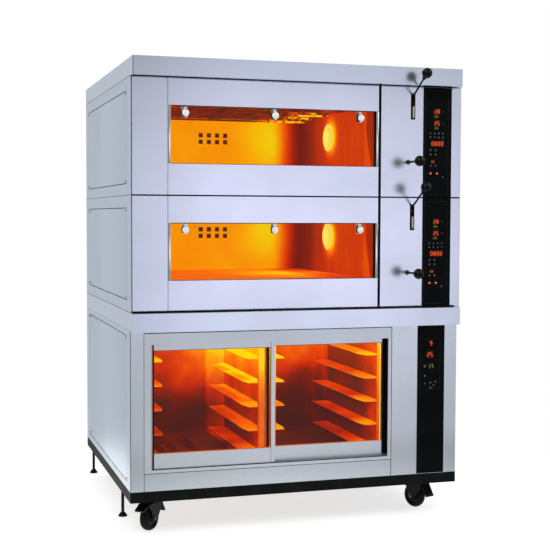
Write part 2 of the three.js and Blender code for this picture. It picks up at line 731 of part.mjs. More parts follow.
// A shallow water tray with its heating rod held between two feet.
function humidifier() {
  const { x, y, height } = HUMIDIFIER;
  const bottom = BAY.z[0] + GAP;
  const foot = { half: 8, length: 12, height: 20, inset: 30 };
  const heater = { z: bottom + 14, radius: 5 };
  const tray = cut(
    box(x, y, [bottom, BAY.z[0] + height]),
    box(
      [x[0] + SHEET, x[1] - SHEET],
      [y[0] + SHEET, y[1] - SHEET],
      [bottom + SHEET, BAY.z[0] + height + 1],
    ),
  );
  const middle = (x[0] + x[1]) / 2;
  const ends = [y[0] + foot.inset, y[1] - foot.inset - foot.length];
  const feet = ends.map((footY) =>
    box(
      [middle - foot.half, middle + foot.half],
      [footY, footY + foot.length],
      [bottom + 1, bottom + foot.height],
    ),
  );
  const bar = rod(
    [middle, ends[0] + 1, heater.z],
    [middle, ends[1] + foot.length - 1, heater.z],
    heater.radius,
    8,
  );
  return join(tray, ...feet, bar);
}

// ---- base ----
function baseFrame() {
  const top = PROOFER_FLOOR - GAP;
  const bottom = GROUND_GAP;
  const frontY = PROOFER_Y - 2;
  const bar = BASE_HEIGHT;
  const ring = cut(
    box([0, WIDTH], [frontY, DEPTH], [bottom, top]),
    box([bar, WIDTH - bar], [frontY + bar, DEPTH - bar], [bottom - 1, top + 1]),
  );
  const crossBar = box(
    [(WIDTH - bar) / 2, (WIDTH + bar) / 2],
    [frontY + 1, DEPTH - 1],
    [bottom, top],
  );
  const pads = [];
  for (const x of [CASTOR.x, WIDTH - CASTOR.x]) {
    for (const y of [CASTOR.frontY, CASTOR.rearY]) {
      const nearX = x < WIDTH / 2 ? [20, x + 50] : [x - 50, WIDTH - 20];
      const nearY = y < DEPTH / 2 ? [40, y + 50] : [y - 50, DEPTH - 20];
      pads.push(box(nearX, nearY, [bottom - PAD_THICKNESS, bottom + 1]));
    }
  }
  const footHoles = [];
  for (const x of [FOOT.x, WIDTH - FOOT.x]) {
    for (const y of [FOOT.frontY, FOOT.rearY]) {
      footHoles.push(rod([x, y, 0], [x, y, top - CASING], FOOT.stem + 1, 12));
    }
  }
  return cut(join(ring, crossBar, ...pads), ...footHoles);
}

// The swivel fork of a castor, drawn about its own swivel axis, with the wheel trailing along +Y.
function castorFork(hasPedal) {
  const { top, crown: crownZ, front, back, leg, head: headRadius } = FORK;
  const legInside = CASTOR.wheelWidth / 2 + CASTOR.clearance;
  const legOutside = legInside + leg;
  const kneeZ = 74;
  const head = rod([0, 0, crownZ + 3], [0, 0, top], headRadius, 20);
  const crown = box([-legOutside, legOutside], [front, back], [crownZ, crownZ + 5]);
  const ear = hasPedal
    ? [
        [PEDAL_PIVOT.y + 6, PEDAL_PIVOT.z + 3],
        [PEDAL_PIVOT.y + 6, PEDAL_PIVOT.z - 8],
      ]
    : [];
  const legOutline = [
    [front, crownZ + leg],
    [front + 6, kneeZ],
    [AXLE.y - 20, AXLE.z - 8],
    [AXLE.y, AXLE.z - 16],
    [AXLE.y + 16, AXLE.z - 6],
    [back, kneeZ],
    ...[...ear].reverse(),
    [back, crownZ + leg],
  ];
  const legs = [
    sideProfile(legOutline, [-legOutside, -legInside]),
    sideProfile(legOutline, [legInside, legOutside]),
  ];
  const axleHalf = legOutside + 5;
  const axle = rod([-axleHalf, AXLE.y, AXLE.z], [axleHalf, AXLE.y, AXLE.z], AXLE.radius, 12);
  return join(head, crown, ...legs, axle);
}

// A wheel with a proud hub, a dished web and chamfered tyre edges.
function castorWheel() {
  const half = CASTOR.wheelWidth / 2;
  const bore = AXLE.radius + 0.6;
  const rim = CASTOR.wheel;
  const chamfer = 5;
  const oneSide = [
    [bore, half + 1],
    [15, half + 1],
    [20, half - 4],
    [32, half],
    [rim - chamfer, half],
    [rim, half - chamfer],
  ];
  const otherSide = oneSide.map(([radius, along]) => [radius, -along]);
  const profile = [...otherSide, ...[...oneSide].reverse(), otherSide[0]];
  return turned(profile, [0, AXLE.y, AXLE.z], [1, 0, 0], 20);
}

// The brake pedal hangs between the fork's ears and reaches out behind the wheel.
function brakePedal() {
  const half = CASTOR.wheelWidth / 2 + CASTOR.clearance - GAP;
  const { y, z, radius } = PEDAL_PIVOT;
  const outline = [
    [y - 5, z + 2],
    [y - 4, z - 5],
    [y + 6, z - 6],
    [y + 34, z - 18],
    [y + 40, z - 12],
    [y + 10, z + 3],
  ];
  return join(sideProfile(outline, [-half, half]), rod([-half, y, z], [half, y, z], radius, 10));
}

const CASTOR_PLACES = [
  { name: "front_left", x: CASTOR.x, y: CASTOR.frontY, turn: 140, brake: true },
  { name: "front_right", x: WIDTH - CASTOR.x, y: CASTOR.frontY, turn: 20, brake: true },
  { name: "rear_left", x: CASTOR.x, y: CASTOR.rearY, turn: -35, brake: false },
  { name: "rear_right", x: WIDTH - CASTOR.x, y: CASTOR.rearY, turn: 75, brake: false },
];

function castor({ name, x, y, turn, brake }) {
  const group = new THREE.Group();
  group.position.set(x, y, 0);
  group.rotation.z = THREE.MathUtils.degToRad(turn);
  group.add(piece("castor_fork_" + name, castorFork(brake), darkSteel()));
  group.add(piece("castor_wheel_" + name, castorWheel(), rubber()));
  if (brake) group.add(piece("castor_brake_" + name, brakePedal(), blackPlastic()));
  return group;
}

// A levelling foot stands on the floor, and its stem screws up into the frame.
function levellingFoot(name, x, y) {
  const profile = [
    [0, 0],
    [FOOT.pad, 0],
    [FOOT.pad, 5],
    [FOOT.stem + 5, 12],
    [FOOT.stem, 18],
    [FOOT.stem, FOOT.top],
    [0, FOOT.top],
  ];
  return piece("levelling_foot_" + name, turned(profile, [x, y, 0], [0, 0, 1], 12), blackPlastic());
}

// ---- the supply cable's gland in the back of the lower deck ----
function mainsGland() {
  const profile = [
    [8, -12],
    [13, -12],
    [13, 4],
    [20, 4],
    [20, 12],
    [14, 16],
    [12, 28],
    [8, 28],
    [8, -12],
  ];
  const centre = [GLAND.x, DEPTH, LOWER_DECK_FLOOR + GLAND.z];
  return turned(profile, centre, [0, 1, 0], 16);
}

// ---- assembly ----
const oven = new THREE.Group();
oven.add(
  piece("base_frame", baseFrame(), enamelledFrame()),
  ...CASTOR_PLACES.map(castor),
  levellingFoot("front_left", FOOT.x, FOOT.frontY),
  levellingFoot("front_right", WIDTH - FOOT.x, FOOT.frontY),
  levellingFoot("rear_left", FOOT.x, FOOT.rearY),
  levellingFoot("rear_right", WIDTH - FOOT.x, FOOT.rearY),
  piece("proofer_casing", prooferCasing(), brushedSteel()),
  piece("proofer_liner", prooferLiner(), chamberSteel()),
  piece("proofer_front_frame", prooferFront(), brushedSteel()),
  piece("proofer_control_panel", prooferPanel(), blackPlastic()),
  piece("proofer_door_track", doorTrack(), aluminium()),
  piece("left_door_frame", slidingFrame(LEFT_DOOR), aluminium()),
  piece("left_door_glass", slidingGlass(LEFT_DOOR), glass()),
  piece("right_door_frame", slidingFrame(RIGHT_DOOR), aluminium()),
  piece("right_door_glass", slidingGlass(RIGHT_DOOR), glass()),
  piece("right_door_grip", doorGrip(), blackPlastic()),
  piece("tray_rack_left", sideRack(BAY.x[0], 1), chamberSteel()),
  piece("tray_rack_middle", middleRack(), chamberSteel()),
  piece("tray_rack_right", sideRack(BAY.x[1], -1), chamberSteel()),
  piece("humidifier_tray", humidifier(), chamberSteel()),
  piece("middle_fascia", fasciaTray(FASCIA_FLOOR + GAP, FASCIA_HEIGHT - GAP), brushedSteel()),
  deck("lower_deck_", LOWER_DECK_FLOOR, true),
  deck("upper_deck_", UPPER_DECK_FLOOR, false),
  piece("top_hood", fasciaTray(HOOD_FLOOR + GAP, HOOD_HEIGHT - GAP), brushedSteel()),
  piece("mains_gland", mainsGland(), blackPlastic()),
);

// The footprint runs from the lever balls to the flue outlets.
const FRONT_MOST = SHAFT.y - LEVER.reach * Math.cos(LEVER.angle) - LEVER.ball;
const BACK_MOST = DEPTH + FLUE.reach;
oven.position.set(-WIDTH / 2, -(FRONT_MOST + BACK_MOST) / 2, 0);

const model = new THREE.Group();
model.add(oven);
export default model;
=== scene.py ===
import json
import math

import bmesh
import bpy
from mathutils import Matrix, Vector


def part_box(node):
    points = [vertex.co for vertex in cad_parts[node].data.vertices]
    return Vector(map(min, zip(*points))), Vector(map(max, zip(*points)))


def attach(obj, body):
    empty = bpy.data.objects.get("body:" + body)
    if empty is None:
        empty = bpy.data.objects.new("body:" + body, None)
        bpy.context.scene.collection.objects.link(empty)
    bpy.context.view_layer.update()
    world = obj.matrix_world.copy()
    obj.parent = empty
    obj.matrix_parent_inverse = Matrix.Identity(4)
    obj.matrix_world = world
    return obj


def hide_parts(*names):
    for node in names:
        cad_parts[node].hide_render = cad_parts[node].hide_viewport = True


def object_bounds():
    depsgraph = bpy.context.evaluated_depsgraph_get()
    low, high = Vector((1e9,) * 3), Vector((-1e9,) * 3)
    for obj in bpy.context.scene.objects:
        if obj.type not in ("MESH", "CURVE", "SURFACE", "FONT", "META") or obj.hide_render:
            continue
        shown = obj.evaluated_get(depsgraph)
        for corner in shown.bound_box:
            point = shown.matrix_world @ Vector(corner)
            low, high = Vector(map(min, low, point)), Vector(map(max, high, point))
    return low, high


# Looks of a two-deck bakery oven on its proofer: finishes for the CAD nodes, and the covers, screws,
# seals, displays, lamps and feet that go on them. Metres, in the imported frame: +Z up, front at -Y.

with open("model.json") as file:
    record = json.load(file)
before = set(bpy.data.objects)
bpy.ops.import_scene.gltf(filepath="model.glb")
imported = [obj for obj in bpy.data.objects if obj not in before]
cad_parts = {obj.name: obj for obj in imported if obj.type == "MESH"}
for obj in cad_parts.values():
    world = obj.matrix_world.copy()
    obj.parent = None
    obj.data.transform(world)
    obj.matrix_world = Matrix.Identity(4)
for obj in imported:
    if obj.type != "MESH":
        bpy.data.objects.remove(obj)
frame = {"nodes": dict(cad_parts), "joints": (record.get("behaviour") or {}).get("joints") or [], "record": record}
CAD_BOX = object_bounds()
NODES = frame["nodes"]
JOINTS = {joint["name"]: joint for joint in frame["joints"]}
BODY_OF = {
    node: body
    for body, members in frame["record"]["behaviour"]["bodies"].items()
    for node in members
}
ROOT = "oven_body"
DECKS = ("lower", "upper")
CORNERS = ("front_left", "front_right", "rear_left", "rear_right")

# ---- sizes shared by several pieces ----
DECK_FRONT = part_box("lower_deck_window_panel")[0].y
GAP = 0.0003
GLASS_LAP_X = 0.0055  # the door glass reaches this far past each side of the window
GLASS_LAP_LOW = 0.0035
GLASS_LAP_HIGH = 0.006
CHAMBER_CLEAR = 0.002  # hearth to chamber wall
CHAMBER_HEIGHT = 0.252  # hearth top to ceiling
LEVER_REACH = 0.202
LEVER_RISE = math.radians(30.5)
BALL = 0.019
LEVER_ROD = 0.0035
CLAMP_PLACES = (0.197, 0.525, 0.853)  # from the oven's left side
CLAMP_HEAD = 0.0125
CLAMP_HEIGHT = 0.288  # above the deck's floor
SLOT = {"low": 0.291, "high": 0.380, "width": 0.010}  # heights above the deck's floor
VENTS = {"x": 0.530, "height": 0.265}  # centre of the vent holes, and of the flue behind them
SHELF = {"count": 5, "lowest": 0.253, "pitch": 0.0885, "taper": Vector((0.010, 0.055))}
SIDES = ((-1, "left"), (1, "right"))
HAIR = 0.0001  # bevel of the thinnest strips
DAMPER_HEIGHT = 0.130  # above the deck's floor
COVER = {"low": 0.040, "high": 0.366, "rear": 1.035}  # above the deck's floor, and back from its front
LAMP_RADIUS = 0.0505
LAMP_RIM = 0.0560
LAMP_RISE = 0.015  # how far the glass over an oven lamp bulges
TUBES_X = {"middle": 0.541, "right": 0.9635}  # the proofer's upright tube lamps
PROOFER_SPACE = (
    (CAD_BOX[0].x + 0.066, DECK_FRONT + 0.060, 0.199),
    (CAD_BOX[0].x + 0.971, DECK_FRONT + 0.889, 0.686),
)


# ---- shader building ----
class Nodes:
    """A node tree being built, with short names for the nodes that it needs."""

    def __init__(self, tree):
        self.tree = tree
        tree.nodes.clear()
        self.coordinates = tree.nodes.new("ShaderNodeTexCoord")
        self.place = self.coordinates.outputs["Object"]

    def feed(self, socket, value):
        if isinstance(value, bpy.types.NodeSocket):
            self.tree.links.new(value, socket)
        else:
            socket.default_value = value

    def make(self, kind, inputs, **settings):
        """The outputs of a new node, with its settings and its inputs filled in."""
        node = self.tree.nodes.new("ShaderNode" + kind)
        for name, value in settings.items():
            setattr(node, name, value)
        for name, value in inputs.items():
            self.feed(node.inputs[name], value)
        return node.outputs

    def vector(self, operation, a, b, output="Vector"):
        return self.make("VectorMath", {0: a, 1: b}, operation=operation)[output]

    def math(self, operation, a, b=0.0):
        return self.make("Math", {0: a, 1: b}, operation=operation)["Value"]

    def add(self, *values):
        total = values[0]
        for value in values[1:]:
            total = self.math("ADD", total, value)
        return total

    def times(self, a, b):
        return self.math("MULTIPLY", a, b)

    def axis(self, vector, name):
        return self.make("SeparateXYZ", {0: vector})[name.upper()]

    def noise(self, scale, stretch=(1, 1, 1), detail=3.0, roughness=0.5):
        place = self.vector("MULTIPLY", self.place, stretch)
        inputs = {"Vector": place, "Scale": scale, "Detail": detail, "Roughness": roughness}
        return self.make("TexNoise", inputs)["Fac"]

    def blend(self, factor, a, b):
        """One value turning into another as factor goes from 0 to 1."""
        return self.make("Mix", {"Factor": factor, 2: a, 3: b})[0]

    def mix(self, factor, a, b):
        """One colour turning into another as factor goes from 0 to 1."""
        return self.make("Mix", {"Factor": factor, 6: a, 7: b}, data_type="RGBA")[2]

    def spread(self, value, low, high, start=0.0, end=1.0, smooth=False):
        """value going from start to end, turned into low going to high."""
        inputs = {"Value": value, "From Min": start, "From Max": end, "To Min": low, "To Max": high}
        kind = "SMOOTHSTEP" if smooth else "LINEAR"
        return self.make("MapRange", inputs, interpolation_type=kind)["Result"]

    def tinted(self, colour, low, high, pattern):
        """colour made darker and lighter by a pattern from 0 to 1."""
        return self.mix(pattern, scaled(colour, low), scaled(colour, high))

    def near(self, point, radius, squash=(1, 1, 1)):
        """1 at a point, falling smoothly to 0 at a radius; squash says how much each axis counts."""
        offset = self.vector("MULTIPLY", self.vector("SUBTRACT", self.place, point), squash)
        distance = self.vector("LENGTH", offset, (0, 0, 0), "Value")
        return self.spread(distance, 1.0, 0.0, 0.0, radius, smooth=True)

    def towards(self, axis, start, end):
        """0 before start, 1 after end, along one axis of the oven."""
        return self.spread(self.axis(self.place, axis), 0.0, 1.0, start, end, smooth=True)

    def within(self, low, high):
        """1 inside a box, its faces included, and 0 outside."""
        middle = (Vector(low) + Vector(high)) / 2
        half = (Vector(high) - Vector(low)) / 2 + Vector((0.001, 0.001, 0.001))
        offset = self.vector("ABSOLUTE", self.vector("SUBTRACT", self.place, middle), (0, 0, 0))
        inside = 1.0
        for name, reach in zip("xyz", half):
            inside = self.times(self.math("LESS_THAN", self.axis(offset, name), reach), inside)
        return inside

    def bump(self, height, strength, distance):
        return self.make("Bump", {"Height": height, "Strength": strength, "Distance": distance})["Normal"]

    def glow_colour(self, glow_level):
        """The colour of painted light on a surface, and of an element's own glow, for a level from 0 to 1."""
        ramp = self.tree.nodes.new("ShaderNodeValToRGB")
        stops = ramp.color_ramp.elements
        for _ in GLOW_COLOURS[2:]:
            stops.new(0.5)
        # The colours go in after all the places, because a stop that moves is sorted again.
        for stop, (position, _) in zip(stops, GLOW_COLOURS):
            stop.position = position
        for stop, (_, colour) in zip(stops, GLOW_COLOURS):
            stop.color = (*colour, 1.0)
        self.feed(ramp.inputs["Fac"], glow_level)
        return ramp.outputs["Color"]


class Shader(Nodes):
    """A material being built: one Principled shader and the nodes that feed it."""

    def __init__(self, name, **constants):
        self.material = bpy.data.materials.new(name)
        self.material.use_nodes = True
        super().__init__(self.material.node_tree)
        self.bsdf = self.tree.nodes.new("ShaderNodeBsdfPrincipled")
        self.make("OutputMaterial", {"Surface": self.bsdf.outputs["BSDF"]})
        self.set(**constants)

    def set(self, **sockets):
        """Sets or links the Principled shader's sockets, named in lower case with underscores."""
        for name, value in sockets.items():
            title = name.replace("_", " ").title().replace("Ior", "IOR")
            self.feed(self.bsdf.inputs[title], value)
        return self.material


def scaled(colour, amount):
    """A colour made lighter or darker, with its alpha set to 1."""
    return (*[channel * amount for channel in colour[:3]], 1.0)


def brushed(name, colour, roughness, scratches=0.012, floor_shade=1.0):
    """Sheet metal brushed from side to side, smudged and slightly wavy, with painted shade that darkens it near
    the floor.
    """
    s = Shader(name, metallic=1.0)
    upright = s.math("ABSOLUTE", s.axis(s.coordinates.outputs["Normal"], "z"))
    faces_up = s.math("GREATER_THAN", upright, 0.5)
    across = s.noise(700, stretch=(0.008, 0.008, 1.0), detail=4)
    along_top = s.noise(700, stretch=(0.008, 1.0, 0.008), detail=4)
    lines = s.add(s.times(along_top, faces_up), s.times(across, s.math("SUBTRACT", 1.0, faces_up)))
    smudges = s.noise(2.6, detail=5, roughness=0.62)
    waves = s.noise(5.0, detail=1)
    pattern = s.add(s.times(lines, 0.30), s.times(smudges, 0.70))
    rough = s.add(s.spread(smudges, -0.04, 0.04, 0.3, 0.7), s.spread(lines, -0.01, 0.01, 0.3, 0.7))
    clean = s.tinted(colour, 0.96, 1.03, s.spread(pattern, 0.0, 1.0, 0.35, 0.65))
    return s.set(
        # Painted shade: the base colour darkens towards the floor, by floor_shade.
        base_color=s.mix(s.towards("z", 0.22, 0.36), scaled(colour, floor_shade), clean),
        roughness=s.add(rough, roughness),
        normal=s.bump(s.add(s.times(lines, scratches), s.times(waves, 1.6)), 0.05, 0.002),
    )


def plated(name):
    """Satin plating with a few dull spots, and a faint painted glow that makes it look bright."""
    s = Shader(name, metallic=0.6, emission_strength=0.3)
    spots = s.noise(220, detail=4)
    return s.set(
        base_color=s.tinted((0.95, 0.97, 0.97), 0.9, 1.03, spots),
        roughness=s.spread(spots, 0.34, 0.50),
        # Painted glow: a faint near-white emission, though the plating is no lamp.
        emission_color=s.tinted((0.90, 0.94, 0.94), 0.9, 1.1, spots),
    )


def moulded(name, colour, roughness, grain=900, depth=0.10, shine=0.3):
    """Moulded plastic, rubber or sprayed paint: a fine grain, with dust and rubbed patches."""
    s = Shader(name, specular_ior_level=shine)
    fine = s.noise(grain, detail=2)
    dust = s.noise(14, detail=6, roughness=0.7)
    rubbed = s.spread(dust, 0.0, 1.0, 0.42, 0.72, smooth=True)
    return s.set(
        base_color=s.mix(rubbed, scaled(colour, 0.8), scaled(colour, 1.9)),
        roughness=s.spread(s.add(fine, dust), roughness - 0.07, roughness + 0.12, 0.7, 1.4),
        normal=s.bump(fine, depth, 0.0004),
    )


def clear_glass(name, tint):
    """A pane with a faint uneven film on it."""
    s = Shader(name, transmission_weight=1.0, ior=1.08)
    film = s.noise(9, detail=5, roughness=0.65)
    return s.set(base_color=s.tinted(tint, 0.97, 1.02, film), roughness=s.spread(film, 0.0, 0.03, 0.4, 0.8))


def lit(name, colour, strength, unevenness=0.25, grain=400):
    """A glowing surface, brighter in places: small lights behind diffusers, and also painted glow on parts that
    are no lamps.
    """
    s = Shader(name, roughness=0.35, emission_strength=strength)
    pattern = s.noise(grain, detail=2)
    glow = s.tinted(colour, 1 - unevenness, 1 + unevenness, pattern)
    return s.set(base_color=scaled(colour, 0.3), emission_color=glow)


# Colours of the painted light on surfaces inside the chambers and the proofer, and of the elements' own glow, from
# nearly dark to bright yellow.
GLOW_COLOURS = (
    (0.00, (0.040, 0.010, 0.010)),
    (0.12, (0.085, 0.009, 0.006)),
    (0.25, (0.190, 0.010, 0.005)),
    (0.40, (0.490, 0.016, 0.002)),
    (0.55, (0.690, 0.047, 0.001)),
    (0.70, (0.840, 0.125, 0.001)),
    (0.82, (0.930, 0.260, 0.000)),
    (0.92, (0.920, 0.400, 0.000)),
    (1.00, (0.900, 0.600, 0.001)),
)
LAMP_YELLOW = (0.68, 0.57, 0.09)
BLACK = (0.0, 0.0, 0.0, 1.0)
WHITE = (1.0, 1.0, 1.0, 1.0)


def deck_floor(deck):
    """Height of a deck's underside."""
    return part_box(deck + "_deck_casing")[0].z - GAP


def cavity(deck):
    """Lowest and highest corner of the space inside a baking chamber."""
    low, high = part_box(deck + "_deck_hearth")
    clear = Vector((CHAMBER_CLEAR, CHAMBER_CLEAR, 0))
    return low - clear - Vector((0, 0.030, GAP)), high + clear + Vector((0, 0, CHAMBER_HEIGHT))


def vent_place(deck, y):
    """Centre of a deck's vent holes or flue, at depth y."""
    return Vector((CAD_BOX[0].x + VENTS["x"], y, deck_floor(deck) + VENTS["height"]))


def lamp_place(deck):
    """Middle of the oven lamp, in the plane of the chamber's right wall."""
    low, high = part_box(deck + "_deck_lamp")
    return Vector((cavity(deck)[1].x, (low.y + high.y) / 2, (low.z + high.z) / 2))


def chamber_wall(deck):
    """Heat-tinted chamber steel, with painted light from the lamp in the right wall and from the elements in its
    glow.
    """
    low, high = cavity(deck)
    lamp = lamp_place(deck)
    s = Shader(deck + "_chamber_wall", specular_ior_level=0.12, emission_strength=1.0)
    stains_and_light_mottle = s.noise(7, detail=6, roughness=0.6)
    streaks = s.noise(16, stretch=(1, 1, 0.15), detail=3)
    on_back = s.towards("y", high.y - 0.006, high.y - 0.001)
    on_right = s.towards("x", high.x - 0.006, high.x - 0.001)
    on_ceiling = s.towards("z", high.z - 0.006, high.z - 0.001)
    # Painted light on the back wall: it glows from the left up to a bright spot, then darkens into the corner as
    # painted shade.
    spot = s.near((high.x - 0.145, high.y, low.z + 0.17), 0.20)
    back = s.add(s.spread(s.towards("x", high.x - 0.135, high.x - 0.005), 0.84, 0.20), s.times(spot, 0.16))
    # Painted light on the right wall round its lamp, with a bright strip near the front, down to a painted shadow
    # line that leans back from the window.
    halo = s.near(lamp + Vector((0, -0.028, 0)), 0.110)
    right = s.add(s.spread(s.towards("y", lamp.y - 0.1, high.y), 0.46, 0.20), s.times(halo, 0.85))
    leaning = s.add(s.axis(s.place, "y"), s.spread(s.axis(s.place, "z"), 0.06, 0.0, low.z, low.z + 0.16))
    strip = s.spread(s.axis(s.place, "y"), 0.10, 0.0, low.y + 0.145, low.y + 0.155)
    shadow = s.spread(leaning, 0.24, 0.0, low.y + 0.124, low.y + 0.130)
    right = s.math("SUBTRACT", s.add(right, strip), shadow)
    # Painted light on the ceiling: dark, and redder towards the back where the element glows.
    rear_glow = s.times(s.near(high, 0.6), 0.12)
    ceiling = s.add(s.spread(stains_and_light_mottle, -0.04, 0.14, 0.35, 0.7), rear_glow)
    # Painted light on the other walls, mottled by the same noise as the stains.
    glow_level = s.spread(stains_and_light_mottle, 0.66, 0.74, 0.3, 0.7)
    glow_level = s.blend(on_back, glow_level, back)
    glow_level = s.blend(on_right, glow_level, right)
    glow_level = s.blend(on_ceiling, glow_level, ceiling)
    glow_level = s.add(glow_level, s.spread(stains_and_light_mottle, -0.03, 0.03, 0.3, 0.7))
    glow = s.mix(s.within(low, high), BLACK, s.glow_colour(glow_level))
    return s.set(
        base_color=s.tinted((0.05, 0.012, 0.006), 0.6, 1.3, s.times(stains_and_light_mottle, streaks)),
        roughness=s.spread(streaks, 0.38, 0.62, 0.3, 0.7),
        emission_color=glow,
        normal=s.bump(stains_and_light_mottle, 0.15, 0.001),
    )


def hearth_stone(deck):
    """Baking stone, pitted and floury, with painted light: brightest on the floor in front of the lamp."""
    low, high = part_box(deck + "_deck_hearth")
    lamp = lamp_place(deck)
    s = Shader(deck + "_hearth_stone", emission_strength=1.0)
    pits = s.noise(260, detail=5, roughness=0.7)
    flour_and_light_mottle = s.noise(9, detail=6, roughness=0.65)
    # Painted light: a little darker at the very front, a pool by the lamp, and painted shade towards the right
    # edge.
    front = s.spread(s.axis(s.place, "y"), 0.56, 0.68, low.y, low.y + 0.15)
    pool = s.near((lamp.x - 0.16, lamp.y - 0.02, high.z), 0.42)
    right_edge = s.spread(s.towards("x", high.x - 0.20, high.x - 0.07), 0.0, -0.30)
    glow_level = s.add(front, s.times(pool, 0.30), right_edge, s.spread(flour_and_light_mottle, -0.05, 0.05, 0.3, 0.7))
    return s.set(
        base_color=s.tinted((0.30, 0.16, 0.07), 0.6, 1.25, s.times(flour_and_light_mottle, s.spread(pits, 0.7, 1.3))),
        roughness=s.spread(pits, 0.75, 0.95),
        emission_color=s.glow_colour(glow_level),
        normal=s.bump(pits, 0.4, 0.0008),
    )


def hot_element(deck, place):
    """Sheathed element: dark oxidised runs, glowing in patches towards the right rear corner."""
    low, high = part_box(f"{deck}_deck_{place}_element")
    s = Shader(f"{deck}_{place}_element", metallic=0.3, emission_strength=1.0)
    scale = s.noise(60, detail=4, roughness=0.7)
    patches = s.noise(22, detail=5, roughness=0.65)
    ends_x = high.x - 0.15  # the bends, before the two straight leads to the right
    hot = s.times(s.towards("x", ends_x - 0.22, ends_x - 0.02), s.towards("y", low.y + 0.12, low.y + 0.36))
    warm = s.spread(s.axis(s.place, "x"), 0.55, 0.16, low.x, low.x + 0.16)
    lit_patch = s.spread(patches, 0.0, 1.0, 0.43, 0.53)
    spots = s.times(s.math("MAXIMUM", hot, warm), lit_patch)
    glow_level = s.add(0.06, spots, s.spread(scale, -0.05, 0.10, 0.3, 0.7))
    return s.set(
        base_color=s.tinted((0.06, 0.035, 0.03), 0.6, 1.5, scale),
        roughness=s.spread(scale, 0.55, 0.85),
        emission_color=s.glow_colour(glow_level),
        normal=s.bump(scale, 0.3, 0.0004),
    )


def damp_steel(name, painted_shelf_light):
    """Steel inside the proofer, with painted light: amber round its tube lamps and at the top, nearly dark at the
    floor.
    """
    low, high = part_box("tray_rack_middle")
    left = CAD_BOX[0].x
    s = Shader(name, metallic=0.3, emission_strength=1.0)
    tall = (1, 1, 0.25)  # round an upright tube, height counts for a quarter
    steam_and_light_mottle = s.noise(5.5, detail=6, roughness=0.62)
    drops = s.noise(240, detail=2)
    normal = s.coordinates.outputs["Normal"]
    upright = s.axis(normal, "z")
    faces_aside = s.math("GREATER_THAN", s.math("ABSOLUTE", s.axis(normal, "x")), 0.5)
    faces_up = s.math("GREATER_THAN", upright, 0.5)
    faces_down = s.math("LESS_THAN", upright, -0.5)
    # Painted light from behind shines over the air duct, and fades sideways and downwards; tops by the doors and
    # the right rear corner get painted light too.
    aside = s.math("ABSOLUTE", s.math("SUBTRACT", s.axis(s.place, "x"), left + TUBES_X["middle"] - 0.021))
    over = s.spread(aside, 0.92, 0.56, 0.03, 0.30, smooth=True)
    fall = s.towards("z", low.z + 0.04, high.z)
    on_duct = s.spread(aside, 0.20, 0.0, 0.034, 0.044)
    by_doors = s.times(s.spread(s.axis(s.place, "y"), 0.40, 0.0, low.y - 0.03, low.y + 0.12), faces_up)
    corner_glow = s.times(s.near((left + 0.90, PROOFER_SPACE[1][1], high.z), 0.26), 0.17)
    behind = s.add(0.03, s.times(over, fall), on_duct, by_doors)
    # Painted light round the two tube lamps, and under the ceiling.
    middle_tube = s.near((left + TUBES_X["middle"], low.y, high.z - 0.06), 0.52, tall)
    right_tube = s.near((left + TUBES_X["right"], low.y, high.z - 0.02), 0.40, tall)
    tubes = s.math("MAXIMUM", s.times(middle_tube, 0.72), s.times(right_tube, 0.66))
    ceiling_glow = s.times(s.towards("z", high.z - 0.15, high.z), 0.15)
    glow_level = s.add(s.math("MAXIMUM", behind, s.add(tubes, s.times(fall, 0.14))), ceiling_glow, corner_glow)
    # Painted light and shade by facing: tops lit brighter, sides and undersides darker.
    least = s.add(painted_shelf_light * 1.6, s.times(fall, painted_shelf_light))
    shelf = s.math("MAXIMUM", s.add(glow_level, painted_shelf_light * 0.6), least)
    glow_level = s.add(glow_level, s.times(faces_aside, -1.2 * painted_shelf_light))
    glow_level = s.blend(faces_up, glow_level, shelf)
    glow_level = s.add(glow_level, s.times(faces_down, -0.16), s.spread(steam_and_light_mottle, -0.15, 0.15, 0.33, 0.67))
    inside = s.within(*PROOFER_SPACE)
    return s.set(
        base_color=s.tinted((0.13, 0.05, 0.02), 0.7, 1.2, steam_and_light_mottle),
        roughness=s.spread(drops, 0.36, 0.60),
        emission_color=s.mix(inside, BLACK, s.glow_colour(glow_level)),
        normal=s.bump(drops, 0.12, 0.0005),
    )


def led_mask(name):
    """The smoked window over a display."""
    s = Shader(name, roughness=0.25, specular_ior_level=0.15)
    tint = s.noise(120, detail=2)
    return s.set(base_color=s.tinted((0.010, 0.004, 0.004), 0.6, 1.4, tint))


